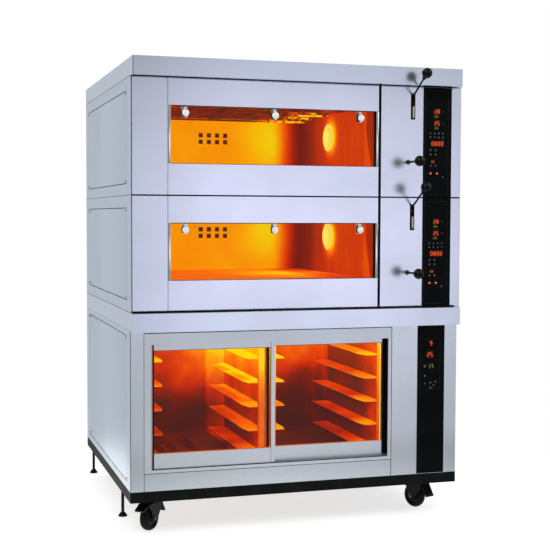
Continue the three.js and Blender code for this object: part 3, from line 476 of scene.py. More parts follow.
MATERIALS = {
    "deck_steel": brushed("deck_steel", (0.79, 0.82, 0.92), 0.24),
    "hood_steel": brushed("hood_steel", (0.76, 0.81, 0.90), 0.24),
    "proofer_steel": brushed("proofer_steel", (0.77, 0.82, 0.86), 0.28, floor_shade=0.80),
    "casing_steel": brushed("casing_steel", (0.76, 0.82, 0.90), 0.33),
    "cover_steel": brushed("cover_steel", (0.77, 0.83, 0.92), 0.30),
    "bright_steel": brushed("bright_steel", (0.95, 0.95, 0.97), 0.18, scratches=0.01),
    "dark_steel": brushed("dark_steel", (0.16, 0.16, 0.17), 0.38),
    "aluminium": brushed("aluminium", (0.84, 0.88, 0.92), 0.34, scratches=0.03, floor_shade=0.84),
    "frame_paint": moulded("frame_paint", (0.004, 0.006, 0.005), 0.50, grain=420, depth=0.18, shine=0.08),
    "castor_paint": moulded("castor_paint", (0.004, 0.004, 0.005), 0.42, grain=500, shine=0.12),
    "panel_black": moulded("panel_black", (0.002, 0.003, 0.003), 0.30, grain=1500, depth=0.03, shine=0.06),
    "knob_black": moulded("knob_black", (0.003, 0.003, 0.004), 0.22, grain=1600, depth=0.03, shine=0.22),
    "plastic_black": moulded("plastic_black", (0.004, 0.004, 0.005), 0.45, shine=0.12),
    "rubber_black": moulded("rubber_black", (0.005, 0.005, 0.005), 0.7, grain=700, depth=0.25, shine=0.05),
    "tread_rubber": moulded("tread_rubber", (0.005, 0.005, 0.005), 0.62, grain=500, depth=0.3, shine=0.10),
    "bezel_line": moulded("bezel_line", (0.035, 0.038, 0.038), 0.4, grain=1500, depth=0.03, shine=0.1),
    "key_white": moulded("key_white", (0.22, 0.23, 0.23), 0.5, grain=1200, depth=0.03, shine=0.1),
    # Painted light and painted shade where the proofer doors overlap: an amber glow and a dark brush.
    "overlap_painted_glow": lit("overlap_painted_glow", (0.26, 0.03, 0.003), 1.0, unevenness=0.7, grain=30),
    "overlap_shadow_brown": moulded("overlap_shadow_brown", (0.030, 0.006, 0.004), 0.8, grain=900, depth=0.4, shine=0.05),
    "joint_grey": moulded("joint_grey", (0.035, 0.040, 0.040), 0.6, shine=0.1),
    "led_mask": led_mask("led_mask"),
    "led_red": lit("led_red", (1.0, 0.085, 0.012), 1.7),
    "led_amber": lit("led_amber", (0.90, 0.10, 0.02), 1.1),
    "led_green": lit("led_green", (0.42, 0.45, 0.02), 1.0),
    "led_blue": lit("led_blue", (0.10, 0.10, 0.30), 0.6),
    "lamp_lens": lit("lamp_lens", LAMP_YELLOW, 1.0, unevenness=0.05, grain=60),
    # Painted glow on the vent baffle, which is no lamp.
    "vent_baffle_painted_glow": lit("vent_baffle_painted_glow", (0.06, 0.008, 0.004), 1.0, unevenness=0.8, grain=45),
    "door_glass": clear_glass("door_glass", (0.985, 0.99, 0.985)),
    "proofer_glass": clear_glass("proofer_glass", (0.985, 0.99, 0.985)),
    # Three copies of the proofer steel: more painted light on the racks, and more again on the shelf edges.
    "proofer_wall": damp_steel("proofer_wall", 0.0),
    "rack_steel": damp_steel("rack_steel", 0.24),
    "shelf_edge": damp_steel("shelf_edge", 0.36),
    # Painted amber glow on the bottom glazing beads.
    "bead_painted_glow": lit("bead_painted_glow", (0.55, 0.10, 0.008), 1.0, unevenness=0.6, grain=25),
    # Plating with a faint painted glow, on the clamp caps and as the painted highlight in the lever slots.
    "satin_cap_painted_glow": plated("satin_cap_painted_glow"),
}
for deck in DECKS:
    MATERIALS[deck + "_chamber"] = chamber_wall(deck)
    MATERIALS[deck + "_hearth"] = hearth_stone(deck)
    MATERIALS[deck + "_top_element"] = hot_element(deck, "top")
    MATERIALS[deck + "_bottom_element"] = hot_element(deck, "bottom")


def finish_nodes(material, *nodes):
    """Gives CAD nodes one material in place of what they had."""
    for node in nodes:
        slots = NODES[node].data.materials
        slots.clear()
        slots.append(MATERIALS[material])


def finish_cad_nodes():
    """Gives every CAD node its finish."""
    for deck in DECKS:
        part = deck + "_deck_"
        finish_nodes("casing_steel", part + "casing")
        finish_nodes("deck_steel", part + "left_panel", part + "window_panel", part + "control_column")
        finish_nodes("bright_steel", part + "door_shaft")
        finish_nodes("panel_black", part + "control_panel")
        finish_nodes("knob_black", part + "door_lever", part + "damper_rod")
        finish_nodes("door_glass", part + "door_glass")
        finish_nodes("lamp_lens", part + "lamp")
        finish_nodes(deck + "_chamber", part + "chamber")
        finish_nodes(deck + "_hearth", part + "hearth")
        finish_nodes(deck + "_top_element", part + "top_element")
        finish_nodes(deck + "_bottom_element", part + "bottom_element")
    finish_nodes("hood_steel", "top_hood", "middle_fascia")
    finish_nodes("casing_steel", "proofer_casing")
    finish_nodes("proofer_steel", "proofer_front_frame")
    finish_nodes("aluminium", "proofer_door_track", "left_door_frame", "right_door_frame")
    finish_nodes("proofer_glass", "left_door_glass", "right_door_glass")
    finish_nodes("plastic_black", "right_door_grip", "mains_gland")
    finish_nodes("panel_black", "proofer_control_panel")
    finish_nodes("proofer_wall", "proofer_liner", "humidifier_tray")
    finish_nodes("rack_steel", "tray_rack_left", "tray_rack_middle", "tray_rack_right")
    finish_nodes("frame_paint", "base_frame")
    for corner in CORNERS:
        finish_nodes("castor_paint", "castor_fork_" + corner)
        finish_nodes("tread_rubber", "castor_wheel_" + corner)
        finish_nodes("plastic_black", "levelling_foot_" + corner)
    for corner in CORNERS[:2]:
        finish_nodes("plastic_black", "castor_brake_" + corner)


# ---- mesh building ----
class Model:
    """One visible piece being built, in the oven's frame."""

    def __init__(self, name, body=ROOT, slot="brushed_steel"):
        self.name = name
        self.body = body
        self.slot = slot
        self.bm = bmesh.new()
        self.finishes = []

    def paint(self, faces, finish):
        if finish not in self.finishes:
            self.finishes.append(finish)
        for face in faces:
            face.material_index = self.finishes.index(finish)

    def box(self, low, high, finish, bevel=0.0004):
        low, high = Vector(low), Vector(high)
        corners = bmesh.ops.create_cube(self.bm, size=1.0)["verts"]
        bmesh.ops.scale(self.bm, vec=high - low, verts=corners)
        bmesh.ops.translate(self.bm, vec=(low + high) / 2, verts=corners)
        self.paint({face for corner in corners for face in corner.link_faces}, finish)
        edges = list({edge for corner in corners for edge in corner.link_edges})
        bmesh.ops.bevel(self.bm, geom=edges, offset=bevel, segments=2, affect="EDGES", profile=0.5)

    def turned(self, profile, centre, axis, finish, sides=40, closed=False):
        """A profile of (radius, distance along the axis) points, turned round the axis."""
        turn = Vector((0, 0, 1)).rotation_difference(Vector(axis)).to_matrix()
        rings = []
        for radius, along in profile:
            count = sides if radius > 0 else 1
            ring = []
            for i in range(count):
                angle = 2 * math.pi * i / sides
                spoke = Vector((radius * math.cos(angle), radius * math.sin(angle), along))
                ring.append(self.bm.verts.new(Vector(centre) + turn @ spoke))
            rings.append(ring)
        pairs = list(zip(rings, rings[1:]))
        if closed:
            pairs.append((rings[-1], rings[0]))
        faces = []
        for near, far in pairs:
            for i in range(sides):
                corners = [near[i % len(near)], near[(i + 1) % len(near)]]
                corners += [far[(i + 1) % len(far)], far[i % len(far)]]
                distinct = list(dict.fromkeys(corners))
                if len(distinct) > 2:
                    faces.append(self.bm.faces.new(distinct))
        self.paint(faces, finish)

    def rod(self, start, end, radius, finish, sides=20):
        """A round bar with a small chamfer at each end."""
        axis = Vector(end) - Vector(start)
        edge = radius * 0.2
        profile = [(0, 0), (radius - edge, 0), (radius, edge)]
        profile += [(radius, axis.length - edge), (radius - edge, axis.length), (0, axis.length)]
        self.turned(profile, start, axis, finish, sides)

    def ball(self, centre, radius, axis, finish, rings=24):
        """A ball with its poles along an axis, as a turned knob has."""
        profile = []
        for i in range(rings + 1):
            angle = math.pi * i / rings
            profile.append((radius * math.sin(angle) if 0 < i < rings else 0, -radius * math.cos(angle)))
        self.turned(profile, centre, axis, finish, sides=40)

    def ring(self, centre, axis, inner, outer, thickness, finish, sides=40):
        edge = min(thickness, outer - inner) * 0.25
        profile = [
            (inner, 0),
            (outer, 0),
            (outer, thickness - edge),
            (outer - edge, thickness),
            (inner + edge, thickness),
            (inner, thickness - edge),
        ]
        self.turned(profile, centre, axis, finish, sides, closed=True)

    def screw(self, centre, axis, finish="dark_steel", head=0.0042):
        """A domed screw head with a cross recess."""
        axis = Vector(axis)
        dome = [(0, 0), (head, 0), (head, 0.0006), (head * 0.8, 0.0016), (head * 0.4, 0.0021), (0, 0.0022)]
        self.turned(dome, centre, axis, finish, sides=20)
        top = Vector(centre) + axis * 0.0019
        for along in (Vector((0, 0, 1)), axis.cross(Vector((0, 0, 1))) or Vector((0, 1, 0))):
            across = axis.cross(along)
            reach = along * head * 0.5 + across * head * 0.1 + axis * 0.0004
            low = Vector([min(a, b) for a, b in zip(top - reach, top + reach)])
            high = Vector([max(a, b) for a, b in zip(top - reach, top + reach)])
            self.box(low, high, "plastic_black", bevel=0.00005)

    def plate(self, outline, across, finish):
        """A flat outline thickened by the vector across."""
        near = [self.bm.verts.new(Vector(point)) for point in outline]
        far = [self.bm.verts.new(Vector(point) + Vector(across)) for point in outline]
        faces = [self.bm.faces.new(near), self.bm.faces.new(far)]
        for i in range(len(near)):
            j = (i + 1) % len(near)
            faces.append(self.bm.faces.new([near[i], near[j], far[j], far[i]]))
        self.paint(faces, finish)

    def done(self, *replaced):
        mesh = bpy.data.meshes.new(self.name)
        bmesh.ops.recalc_face_normals(self.bm, faces=self.bm.faces)
        self.bm.to_mesh(mesh)
        self.bm.free()
        for finish in self.finishes:
            mesh.materials.append(MATERIALS[finish])
        for polygon in mesh.polygons:
            polygon.use_smooth = True
        mesh.set_sharp_from_angle(angle=math.radians(35))
        piece = bpy.data.objects.new(self.name, mesh)
        bpy.context.scene.collection.objects.link(piece)
        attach(piece, self.body)
        if replaced:
            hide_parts(*replaced)
        return piece


def strip(name, low, high, finish, bevel=0.0004, body=ROOT, slot="black_plastic"):
    """A piece that is a single box."""
    model = Model(name, body, slot)
    model.box(low, high, finish, bevel)
    model.done()


# ---- levers, dampers and clamps ----
def lever(deck):
    """Door lever: hub on the shaft, straight rod, collar and ball."""
    node = deck + "_deck_door_lever"
    low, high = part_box(node)
    pivot = Vector(JOINTS[deck + "_door_swing"]["pos_m"])
    pivot.x = (low.x + high.x) / 2
    direction = Vector((0, -math.cos(LEVER_RISE), math.sin(LEVER_RISE)))
    end = pivot + direction * LEVER_REACH
    model = Model(deck + "_lever_and_ball", BODY_OF[node], "black_plastic")
    bore, hub, hub_width = 0.0076, 0.0130, 0.020
    model.ring(pivot - Vector((hub_width / 2, 0, 0)), (1, 0, 0), bore, hub, hub_width, "dark_steel")
    model.rod(pivot + direction * (hub - 0.0005), end, LEVER_ROD, "knob_black")
    collar = [(0.0036, 0), (0.0075, 0.001), (0.0085, 0.010), (0.006, 0.016), (0.0036, 0.017)]
    model.turned(collar, end - direction * (BALL + 0.012), direction, "knob_black", closed=True)
    model.ball(end, BALL, (0, 1, 0), "knob_black")
    model.done(node)


def damper_knob(deck):
    """Ball knob of the flue damper with its collar, over the CAD rod's end, and the bush behind it."""
    node = deck + "_deck_damper_rod"
    low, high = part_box(node)
    centre = Vector((high.x - BALL, low.y + BALL, deck_floor(deck) + DAMPER_HEIGHT))
    model = Model(deck + "_damper_knob", BODY_OF[node], "black_plastic")
    model.ball(centre, BALL + 0.0002, (0, 1, 0), "knob_black")
    collar = [(0.0042, 0), (0.008, 0.001), (0.0085, 0.010), (0.0065, 0.016), (0.0042, 0.017)]
    model.turned(collar, centre + Vector((0, BALL + 0.012, 0)), (0, -1, 0), "knob_black", closed=True)
    model.done()
    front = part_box(deck + "_deck_control_column")[0].y
    bush = Model(deck + "_damper_bush")
    bush.ring((centre.x, front, centre.z), (0, -1, 0), 0.0052, 0.0095, 0.0020, "dark_steel")
    bush.done()


def glass_clamps(deck):
    """The three clamp heads on each door glass: a rubber sleeve, and a plated cap and its tab with a faint painted
    glow.
    """
    glass = deck + "_deck_door_glass"
    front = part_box(glass)[0].y - 0.014
    rim = CLAMP_HEAD - 0.0008
    cap = [(0, -0.0022), (CLAMP_HEAD * 0.7, -0.0020), (rim, -0.0006)]
    cap += [(CLAMP_HEAD - 0.0004, 0.0006), (rim, 0.0012), (0, 0.0012)]
    model = Model(deck + "_glass_clamps", BODY_OF[glass])
    for place in CLAMP_PLACES:
        centre = Vector((CAD_BOX[0].x + place, front, deck_floor(deck) + CLAMP_HEIGHT))
        sleeve = centre + Vector((0, 0.0015, 0))
        model.ring(sleeve, (0, 1, 0), CLAMP_HEAD, CLAMP_HEAD + 0.0006, 0.0118, "rubber_black")
        model.turned(cap, centre, (0, 1, 0), "satin_cap_painted_glow")
        model.box(
            centre + Vector((-0.0065, 0.0088, CLAMP_HEAD * 0.6)),
            centre + Vector((0.0065, 0.0098, 0.0215)), "satin_cap_painted_glow",
        )
    model.done()


# ---- deck fronts ----
def slot_bezel(deck):
    """Black plate round the lever's slot, a black sheet inside its left side as painted shadow, and a glowing
    strip on its right edge as painted highlight.
    """
    lever_low, lever_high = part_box(deck + "_deck_door_lever")
    middle = (lever_low.x + lever_high.x) / 2
    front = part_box(deck + "_deck_control_column")[0].y
    low_z, high_z = [deck_floor(deck) + SLOT[end] for end in ("low", "high")]
    inner, lip = SLOT["width"] / 2, 0.0036
    proud = front - 0.0015
    model = Model(deck + "_slot_bezel", slot="black_plastic")
    for x in (middle - inner - lip, middle + inner):
        model.box((x, proud, low_z - lip), (x + lip, front, high_z + lip), "rubber_black")
    for z in (low_z - lip, high_z):
        model.box((middle - inner, proud, z), (middle + inner, front, z + lip), "rubber_black")
    # Painted shadow: a black sheet inside the slot's left side.
    model.box(
        (middle - inner - 0.002, front + 0.0035, low_z - 0.002),
        (middle - 0.0042, front + 0.006, high_z + 0.002), "rubber_black",
    )
    model.done()
    # Painted highlight: a glowing strip on the slot's right edge.
    edge_low = (middle + 0.0041, front + 0.0005, low_z + 0.004)
    edge_high = (middle + 0.0049, front + 0.0110, low_z + 0.046)
    strip(deck + "_slot_painted_highlight", edge_low, edge_high, "satin_cap_painted_glow", 0.0002, slot="brushed_steel")


def gap_seal(deck):
    """Black ribbed seal in the gap beside the control column."""
    low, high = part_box(deck + "_deck_window_panel")
    x0, x1 = high.x + GAP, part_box(deck + "_deck_control_column")[0].x - GAP
    ribs = 3
    model = Model(deck + "_gap_seal", slot="black_plastic")
    model.box((x0, low.y + 0.005, low.z), (x1, low.y + 0.024, high.z), "rubber_black")
    for i in range(ribs):
        x = x0 + (x1 - x0) * (i + 0.5) / ribs
        model.box((x - 0.001, low.y + 0.0035, low.z), (x + 0.001, low.y + 0.006, high.z), "rubber_black")
    model.done()


def window_trim(deck):
    """Bright strips beside the window, the window's black edges, and the seam at the panel's left end."""
    panel_low, panel_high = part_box(deck + "_deck_window_panel")
    glass_low, glass_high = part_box(deck + "_deck_door_glass")
    x0, x1 = glass_low.x + GLASS_LAP_X, glass_high.x - GLASS_LAP_X
    z0, z1 = glass_low.z + GLASS_LAP_LOW, glass_high.z - GLASS_LAP_HIGH
    front = panel_low.y
    lip = 0.0016
    model = Model(deck + "_window_trim")
    seams = Model(deck + "_window_seams", slot="black_plastic")

    def seam(low, high):
        seams.box(low, high, "rubber_black", HAIR)

    for left, right in ((panel_low.x + 0.0004, x0 - 0.0005), (x1 + 0.0005, panel_high.x - 0.0004)):
        model.box((left, front - 0.0006, z0 + 0.0008), (right, front, z1 - 0.0008), "bright_steel", 0.0002)
        for z in (z0, z1):
            seam((left, front - 0.0003, z - 0.0007), (right, front + 0.0004, z + 0.0007))
    for low_z, high_z in ((z0 - lip, z0), (z1 - 0.0012, z1 + lip)):
        seam((x0, front - 0.0004, low_z), (x1, front + 0.004, high_z))
    seam((x1 - 0.0012, front - 0.0002, z0), (x1 - 0.0001, glass_low.y - 0.001, z1))
    seam((panel_low.x - lip, front - 0.0004, panel_low.z), (panel_low.x, front + 0.0004, panel_high.z))
    model.done()
    seams.done()


# ---- control panels ----
DIGIT_BARS = {
    "0": "abcdef", "1": "bc", "2": "abged", "3": "abgcd", "4": "fgbc",
    "5": "afgcd", "6": "afgedc", "7": "abc", "8": "abcdefg", "9": "abcdfg",
}


class ControlFace(Model):
    """What is printed and lit on a control panel; places are counted from its lower left corner."""

    def __init__(self, name, node):
        super().__init__(name, slot="black_panel")
        self.low, self.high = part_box(node)
        self.front = self.low.y - 0.00005

    def at(self, x, z):
        return Vector((self.low.x + x, self.front, self.low.z + z))

    def digit(self, character, corner, height, finish):
        """One seven-bar digit, standing in front of the panel at its lower left corner."""
        width, bar = height * 0.52, height * 0.13
        half = height / 2
        bars = {
            "a": ((bar, height - bar), (width - bar, height)),
            "g": ((bar, half - bar / 2), (width - bar, half + bar / 2)),
            "d": ((bar, 0), (width - bar, bar)),
            "f": ((0, half), (bar, height - bar)),
            "b": ((width - bar, half), (width, height - bar)),
            "e": ((0, bar), (bar, half)),
            "c": ((width - bar, bar), (width, half)),
        }
        slack = height * 0.02
        for name in DIGIT_BARS[character]:
            (x0, z0), (x1, z1) = bars[name]
            low = corner + Vector((x0 + slack, -0.0006, z0 + slack))
            high = corner + Vector((x1 - slack, 0.0, z1 - slack))
            self.box(low, high, finish, bevel=0.00012)

    def display(self, text, x, z, height, finish):
        """A row of digits on a smoked window."""
        pitch = height * 0.70
        width = pitch * len(text) - height * 0.18
        margin = height * 0.22
        middle = self.at(x, z)
        self.box(
            middle + Vector((-width / 2 - margin, -0.0005, -height / 2 - margin)),
            middle + Vector((width / 2 + margin, 0.0, height / 2 + margin)), "led_mask", 0.0002,
        )
        for i, character in enumerate(text):
            corner = middle + Vector((-width / 2 + i * pitch, -0.0005, -height / 2))
            self.digit(character, corner, height, finish)

    def key(self, x, z, size, finish="key_white"):
        """The printed dot of a membrane key, slightly raised."""
        dome = [(0, 0), (size, 0), (size, 0.0003), (size * 0.7, 0.0006), (0, 0.0007)]
        self.turned(dome, self.at(x, z), (0, -1, 0), finish, sides=18)

    def keys(self, columns, rows, size):
        """A block of white keys."""
        for z in rows:
            for x in columns:
                self.key(x, z, size)

    def outline(self, left, bottom, right, top, line=0.0008):
        """A thin raised line round a rectangle."""
        low, high = self.at(left, bottom), self.at(right, top)
        y0, y1 = self.front - 0.0004, self.front
        for z in (low.z, high.z - line):
            self.box((low.x, y0, z), (high.x, y1, z + line), "bezel_line", HAIR)
        for x in (low.x, high.x - line):
            self.box((x, y0, low.z + line), (x + line, y1, high.z - line), "bezel_line", HAIR)


def deck_controls(deck):
    """Displays, keys and lamps of a deck's control panel."""
    face = ControlFace(deck + "_control_face", deck + "_deck_control_panel")
    face.outline(0.006, 0.010, 0.100, face.high.z - face.low.z - 0.012)
    for text, red_z, green_z in (("28", 0.317, 0.299), ("25", 0.274, 0.256)):
        face.display(text, 0.054, red_z, 0.0165, "led_red")
        face.display("205", 0.051, green_z, 0.0080, "led_green")
        face.key(0.079, red_z, 0.0016)
    face.keys((0.028, 0.045, 0.062, 0.079), (0.236, 0.222), 0.0024)
    face.display("0800", 0.056, 0.198, 0.0180, "led_red")
    face.keys((0.029, 0.050), (0.174, 0.158), 0.0030)
    face.display("88", 0.038, 0.131, 0.0100, "led_amber")
    face.keys((0.030, 0.050), (0.116,), 0.0028)
    for x in (0.030, 0.056):
        face.ring(face.at(x, 0.088), (0, -1, 0), 0.0042, 0.0054, 0.0012, "bezel_line", sides=24)
        face.key(x, 0.088, 0.0038, "led_amber")
    face.key(0.079, 0.075, 0.0022)
    face.done()


def proofer_controls():
    """Displays and keys of the proofer's control panel."""
    face = ControlFace("proofer_control_face", "proofer_control_panel")
    face.outline(0.011, 0.320, 0.092, 0.512)
    face.display("9", 0.054, 0.494, 0.0185, "led_red")
    face.display("25", 0.050, 0.451, 0.0190, "led_red")
    face.display("17", 0.053, 0.407, 0.0165, "led_green")
    face.key(0.029, 0.407, 0.0042)
    face.key(0.030, 0.371, 0.0036, "led_blue")
    for x, z in ((0.030, 0.341), (0.053, 0.344), (0.074, 0.347), (0.054, 0.325), (0.066, 0.334)):
        face.key(x, z, 0.0024)
    face.ring(face.at(0.058, 0.334), (0, -1, 0), 0.0095, 0.0103, 0.0004, "bezel_line", sides=36)
    face.done()


# ---- covers, screws and seams of the casings ----
def side_cover(name, casing, side, low_z, high_z, from_front):
    """Access cover in a side wall's recess: a plate, a black strip above and below, and its screws."""
    low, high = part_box(casing)
    wall = low.x if side < 0 else high.x
    outer = wall - side * 0.0002
    x0, x1 = sorted((outer, wall - side * 0.0014))
    y0, y1 = DECK_FRONT + from_front + 0.0008, DECK_FRONT + COVER["rear"] - 0.0008
    strip = 0.0028
    cover = Model(name)
    cover.box((x0, y0, low_z + strip), (x1, y1, high_z - strip), "cover_steel", 0.0003)
    for y in (y0 + 0.012, y1 - 0.012):
        for z in (low_z + strip + 0.007, high_z - strip - 0.007):
            cover.screw((outer, y, z), (side, 0, 0))
    cover.done()
    seal = Model(name + "_seal", slot="black_plastic")
    for z in (low_z, high_z - strip):
        seal.box((x0, y0, z + 0.0002), (x1, y1, z + strip - 0.0002), "rubber_black", 0.0002)
    seal.done()


def side_covers():
    """The covers on both sides of the decks and of the proofer."""
    covers = {}
    for deck in DECKS:
        low_z, high_z = [deck_floor(deck) + COVER[end] for end in ("low", "high")]
        covers[deck] = (deck + "_deck_casing", low_z, high_z, 0.080)
    frame_low, frame_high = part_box("proofer_front_frame")
    covers["proofer"] = ("proofer_casing", frame_low.z - GAP + 0.026, frame_high.z + GAP - 0.020, 0.084)
    for name, (casing, low_z, high_z, from_front) in covers.items():
        for side, word in SIDES:
            side_cover(f"{name}_{word}_cover", casing, side, low_z, high_z, from_front)


def back_screws():
    """Screws along the edges of each back wall, and a ring round each flue."""
    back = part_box("proofer_casing")[1].y
    count, inset_x, inset_z = 6, 0.03, 0.018
    for name in ("lower_deck_casing", "upper_deck_casing", "proofer_casing"):
        low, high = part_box(name)
        model = Model(name.replace("casing", "back_screws"))
        for i in range(count):
            x = low.x + inset_x + (high.x - low.x - 2 * inset_x) * i / (count - 1)
            for z in (low.z + inset_z, high.z - inset_z):
                model.screw((x, back, z), (0, 1, 0))
        model.done()
    flue, rim, thickness, bolt_circle = 0.0403, 0.056, 0.0022, 0.049
    for deck in DECKS:
        centre = vent_place(deck, back)
        collar = Model(deck + "_flue_ring")
        collar.ring(centre, (0, 1, 0), flue, rim, thickness, "casing_steel", sides=56)
        for i in range(count):
            angle = 2 * math.pi * i / count
            spoke = Vector((bolt_circle * math.cos(angle), thickness, bolt_circle * math.sin(angle)))
            collar.screw(centre + spoke, (0, 1, 0), head=0.003)
        collar.done()


# ---- inside the decks ----
def lamp_bezel(deck):
    """The domed glass over the oven lamp, and the turned ring that holds it, glowing like the lamp as a painted
    reflection.
    """
    dome = Model(deck + "_lamp_dome", slot="lamp_glass")
    rings = 8
    profile = []
    for i in range(rings + 1):
        angle = math.pi / 2 * i / rings
        profile.append((LAMP_RADIUS * math.cos(angle) if i < rings else 0, LAMP_RISE * math.sin(angle)))
    dome.turned(profile, lamp_place(deck), (-1, 0, 0), "lamp_lens", sides=56)
    dome.done()
    # The ring's glow is a painted reflection of the lamp.
    model = Model(deck + "_lamp_bezel", slot="lamp_glass")
    model.ring(lamp_place(deck), (-1, 0, 0), LAMP_RADIUS, LAMP_RIM, 0.0020, "lamp_lens", sides=56)
    model.done()


def vent_fittings(deck):
    """Rivets round the vent holes, and the baffle that is seen through them, glowing dark red as painted light."""
    centre = vent_place(deck, cavity(deck)[1].y)
    # The baffle's glow is painted light.
    baffle = Model(deck + "_vent_baffle", slot="chamber_steel")

    def sheet(low, high, bevel=0.0004):
        baffle.box(centre + Vector(low), centre + Vector(high), "vent_baffle_painted_glow", bevel)

    sheet((-0.085, 0.010, -0.040), (0.085, 0.012, 0.040), 0.0005)
    for x in (-0.084, 0.084):
        sheet((x - 0.001, 0.003, -0.038), (x + 0.001, 0.011, 0.038))
    baffle.done()
    rivets = Model(deck + "_vent_rivets", slot="chamber_steel")
    head = [(0, 0), (0.0024, 0), (0.0022, 0.0008), (0.0012, 0.0014), (0, 0.0015)]
    for across, up in ((0.080, 0.026), (0.043, 0.047)):
        for x in (-across, across):
            for z in (-up, up):
                rivets.turned(head, centre + Vector((x, 0, z)), (0, -1, 0), "dark_steel", sides=12)
    rivets.done()


def element_hangers(deck):
    """Three bars that carry the top element, each with a clip under every run."""
    low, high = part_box(deck + "_deck_top_element")
    ceiling = cavity(deck)[1].z
    runs, radius = 8, 0.004
    pitch = (high.y - low.y - 2 * radius) / (runs - 1)
    bar_top = high.z + 0.0030
    model = Model(deck + "_element_hangers", slot="element_steel")
    for share in (0.12, 0.42, 0.72):
        x = low.x + (high.x - low.x) * share
        bar_low = (x - 0.004, low.y - 0.02, high.z + 0.0006)
        model.box(bar_low, (x + 0.004, high.y + 0.02, bar_top), "dark_steel")
        for end in (low.y - 0.018, high.y + 0.016):
            model.box((x - 0.003, end, bar_top), (x + 0.003, end + 0.002, ceiling - GAP), "dark_steel")
        for run in range(runs):
            clip = (x - 0.003, low.y + radius + run * pitch, low.z + radius)
            model.ring(clip, (1, 0, 0), 0.0043, 0.0054, 0.006, "dark_steel", sides=16)
    model.done()


# ---- proofer ----
def door_trim():
    """Rubber edge of the left door, joint lines of both frames, and glazing beads, the bottom one glowing amber as
    painted light.
    """
    left_low, left_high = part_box("left_door_frame")
    strip(
        "left_door_edge_rubber",
        (left_low.x + 0.0012, left_low.y - 0.0016, left_low.z + 0.002),
        (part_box("left_door_glass")[0].x - 0.0002, left_low.y, left_high.z - 0.002),
        "rubber_black", body=BODY_OF["left_door_frame"],
    )
    slit, lip = 0.0005, 0.0022
    for _, side in SIDES:
        body = BODY_OF[side + "_door_frame"]
        low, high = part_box(side + "_door_frame")
        glass_low, glass_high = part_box(side + "_door_glass")
        y0, y1 = low.y - 0.0002, low.y + 0.0006
        seams = Model(side + "_door_joints", body, "black_plastic")
        for x in (glass_low.x, glass_high.x):
            for z0, z1 in ((low.z, glass_low.z - slit), (glass_high.z + slit, high.z)):
                seams.box((x - slit, y0, z0), (x + slit, y1, z1), "rubber_black", HAIR)
        seams.done()
        y0, y1 = glass_low.y - lip, glass_low.y - GAP
        bead = Model(side + "_door_beads", body, "black_plastic")
        # The bottom bead's amber glow is painted light.
        for z, finish in ((glass_low.z, "bead_painted_glow"), (glass_high.z - lip, "rubber_black")):
            bead.box((glass_low.x, y0, z), (glass_high.x, y1, z + lip), finish, 0.0003)
        for x in (glass_low.x, glass_high.x - lip):
            bead.box((x, y0, glass_low.z + lip), (x + lip, y1, glass_high.z - lip), "rubber_black", 0.0003)
        bead.done()


def grip_trim():
    """Black trim between the right door's glass and its grip, and on the doorway's edge beside the grip."""
    frame_low, frame_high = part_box("right_door_frame")
    grip_low, grip_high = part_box("right_door_grip")
    strip(
        "right_door_trim",
        (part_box("right_door_glass")[1].x - 0.0004, frame_low.y - 0.0012, grip_low.z + 0.001),
        (frame_high.x, frame_low.y, grip_high.z - 0.001),
        "plastic_black", 0.0003, BODY_OF["right_door_frame"],
    )
    strip(
        "doorway_buffer",
        (grip_high.x - 0.0005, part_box("proofer_door_track")[0].y + 0.004, grip_low.z + 0.002),
        (grip_high.x + 0.0008, grip_low.y - 0.0015, grip_high.z - 0.002), "plastic_black", 0.0003,
    )


def tube_foot(name):
    """Point on the ground under one of the proofer's tube lamps."""
    rack_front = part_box("tray_rack_middle")[0].y
    return Vector((CAD_BOX[0].x + TUBES_X[name], rack_front - 0.014, 0))


def tube_lamp(name):
    """An upright tube lamp in front of the racks, held in a cap at each end."""
    low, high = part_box("tray_rack_middle")
    radius = 0.0045
    z0, z1 = low.z + 0.03, high.z + 0.004
    model = Model("tube_lamp_" + name, slot="lamp_glass")

    def at(z):
        return tube_foot(name) + Vector((0, 0, z))

    model.rod(at(z0), at(z1), radius, "lamp_lens", sides=24)
    for start, end in ((z0 - 0.028, z0 + 0.006), (z1 - 0.006, z1 + 0.014)):
        model.rod(at(start), at(end), radius + 0.0012, "bright_steel", sides=24)
    model.done()


def overlap_shadow_brush():
    """A dark brush on the right door where the two doors overlap, standing as painted shade for the shadow seen
    there through the left glass, with a glowing amber strip beside it as painted light.
    """
    low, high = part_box("right_door_frame")
    glass_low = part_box("right_door_glass")[0]
    model = Model("right_door_shadow_brush", BODY_OF["right_door_frame"], "black_plastic")
    z0, z1 = glass_low.z - 0.02, high.z - 0.008
    x0, x1 = glass_low.x - 0.0090, glass_low.x - 0.0012
    # Painted light: the amber strip glows; the dark brush beside it is painted shade.
    model.box((low.x + 0.0005, low.y - 0.0018, z0), (x0 - GAP, low.y, z1), "overlap_painted_glow")
    model.box((x0, low.y - 0.0022, z0), (x1, low.y, z1), "overlap_shadow_brown")
    tufts = 6
    y = low.y - 0.0026
    for i in range(tufts):
        x = x0 + (x1 - x0) * (i + 0.5) / tufts
        model.rod((x, y, z0 + 0.002), (x, y, z1 - 0.002), 0.0006, "overlap_shadow_brown", sides=8)
    model.done()


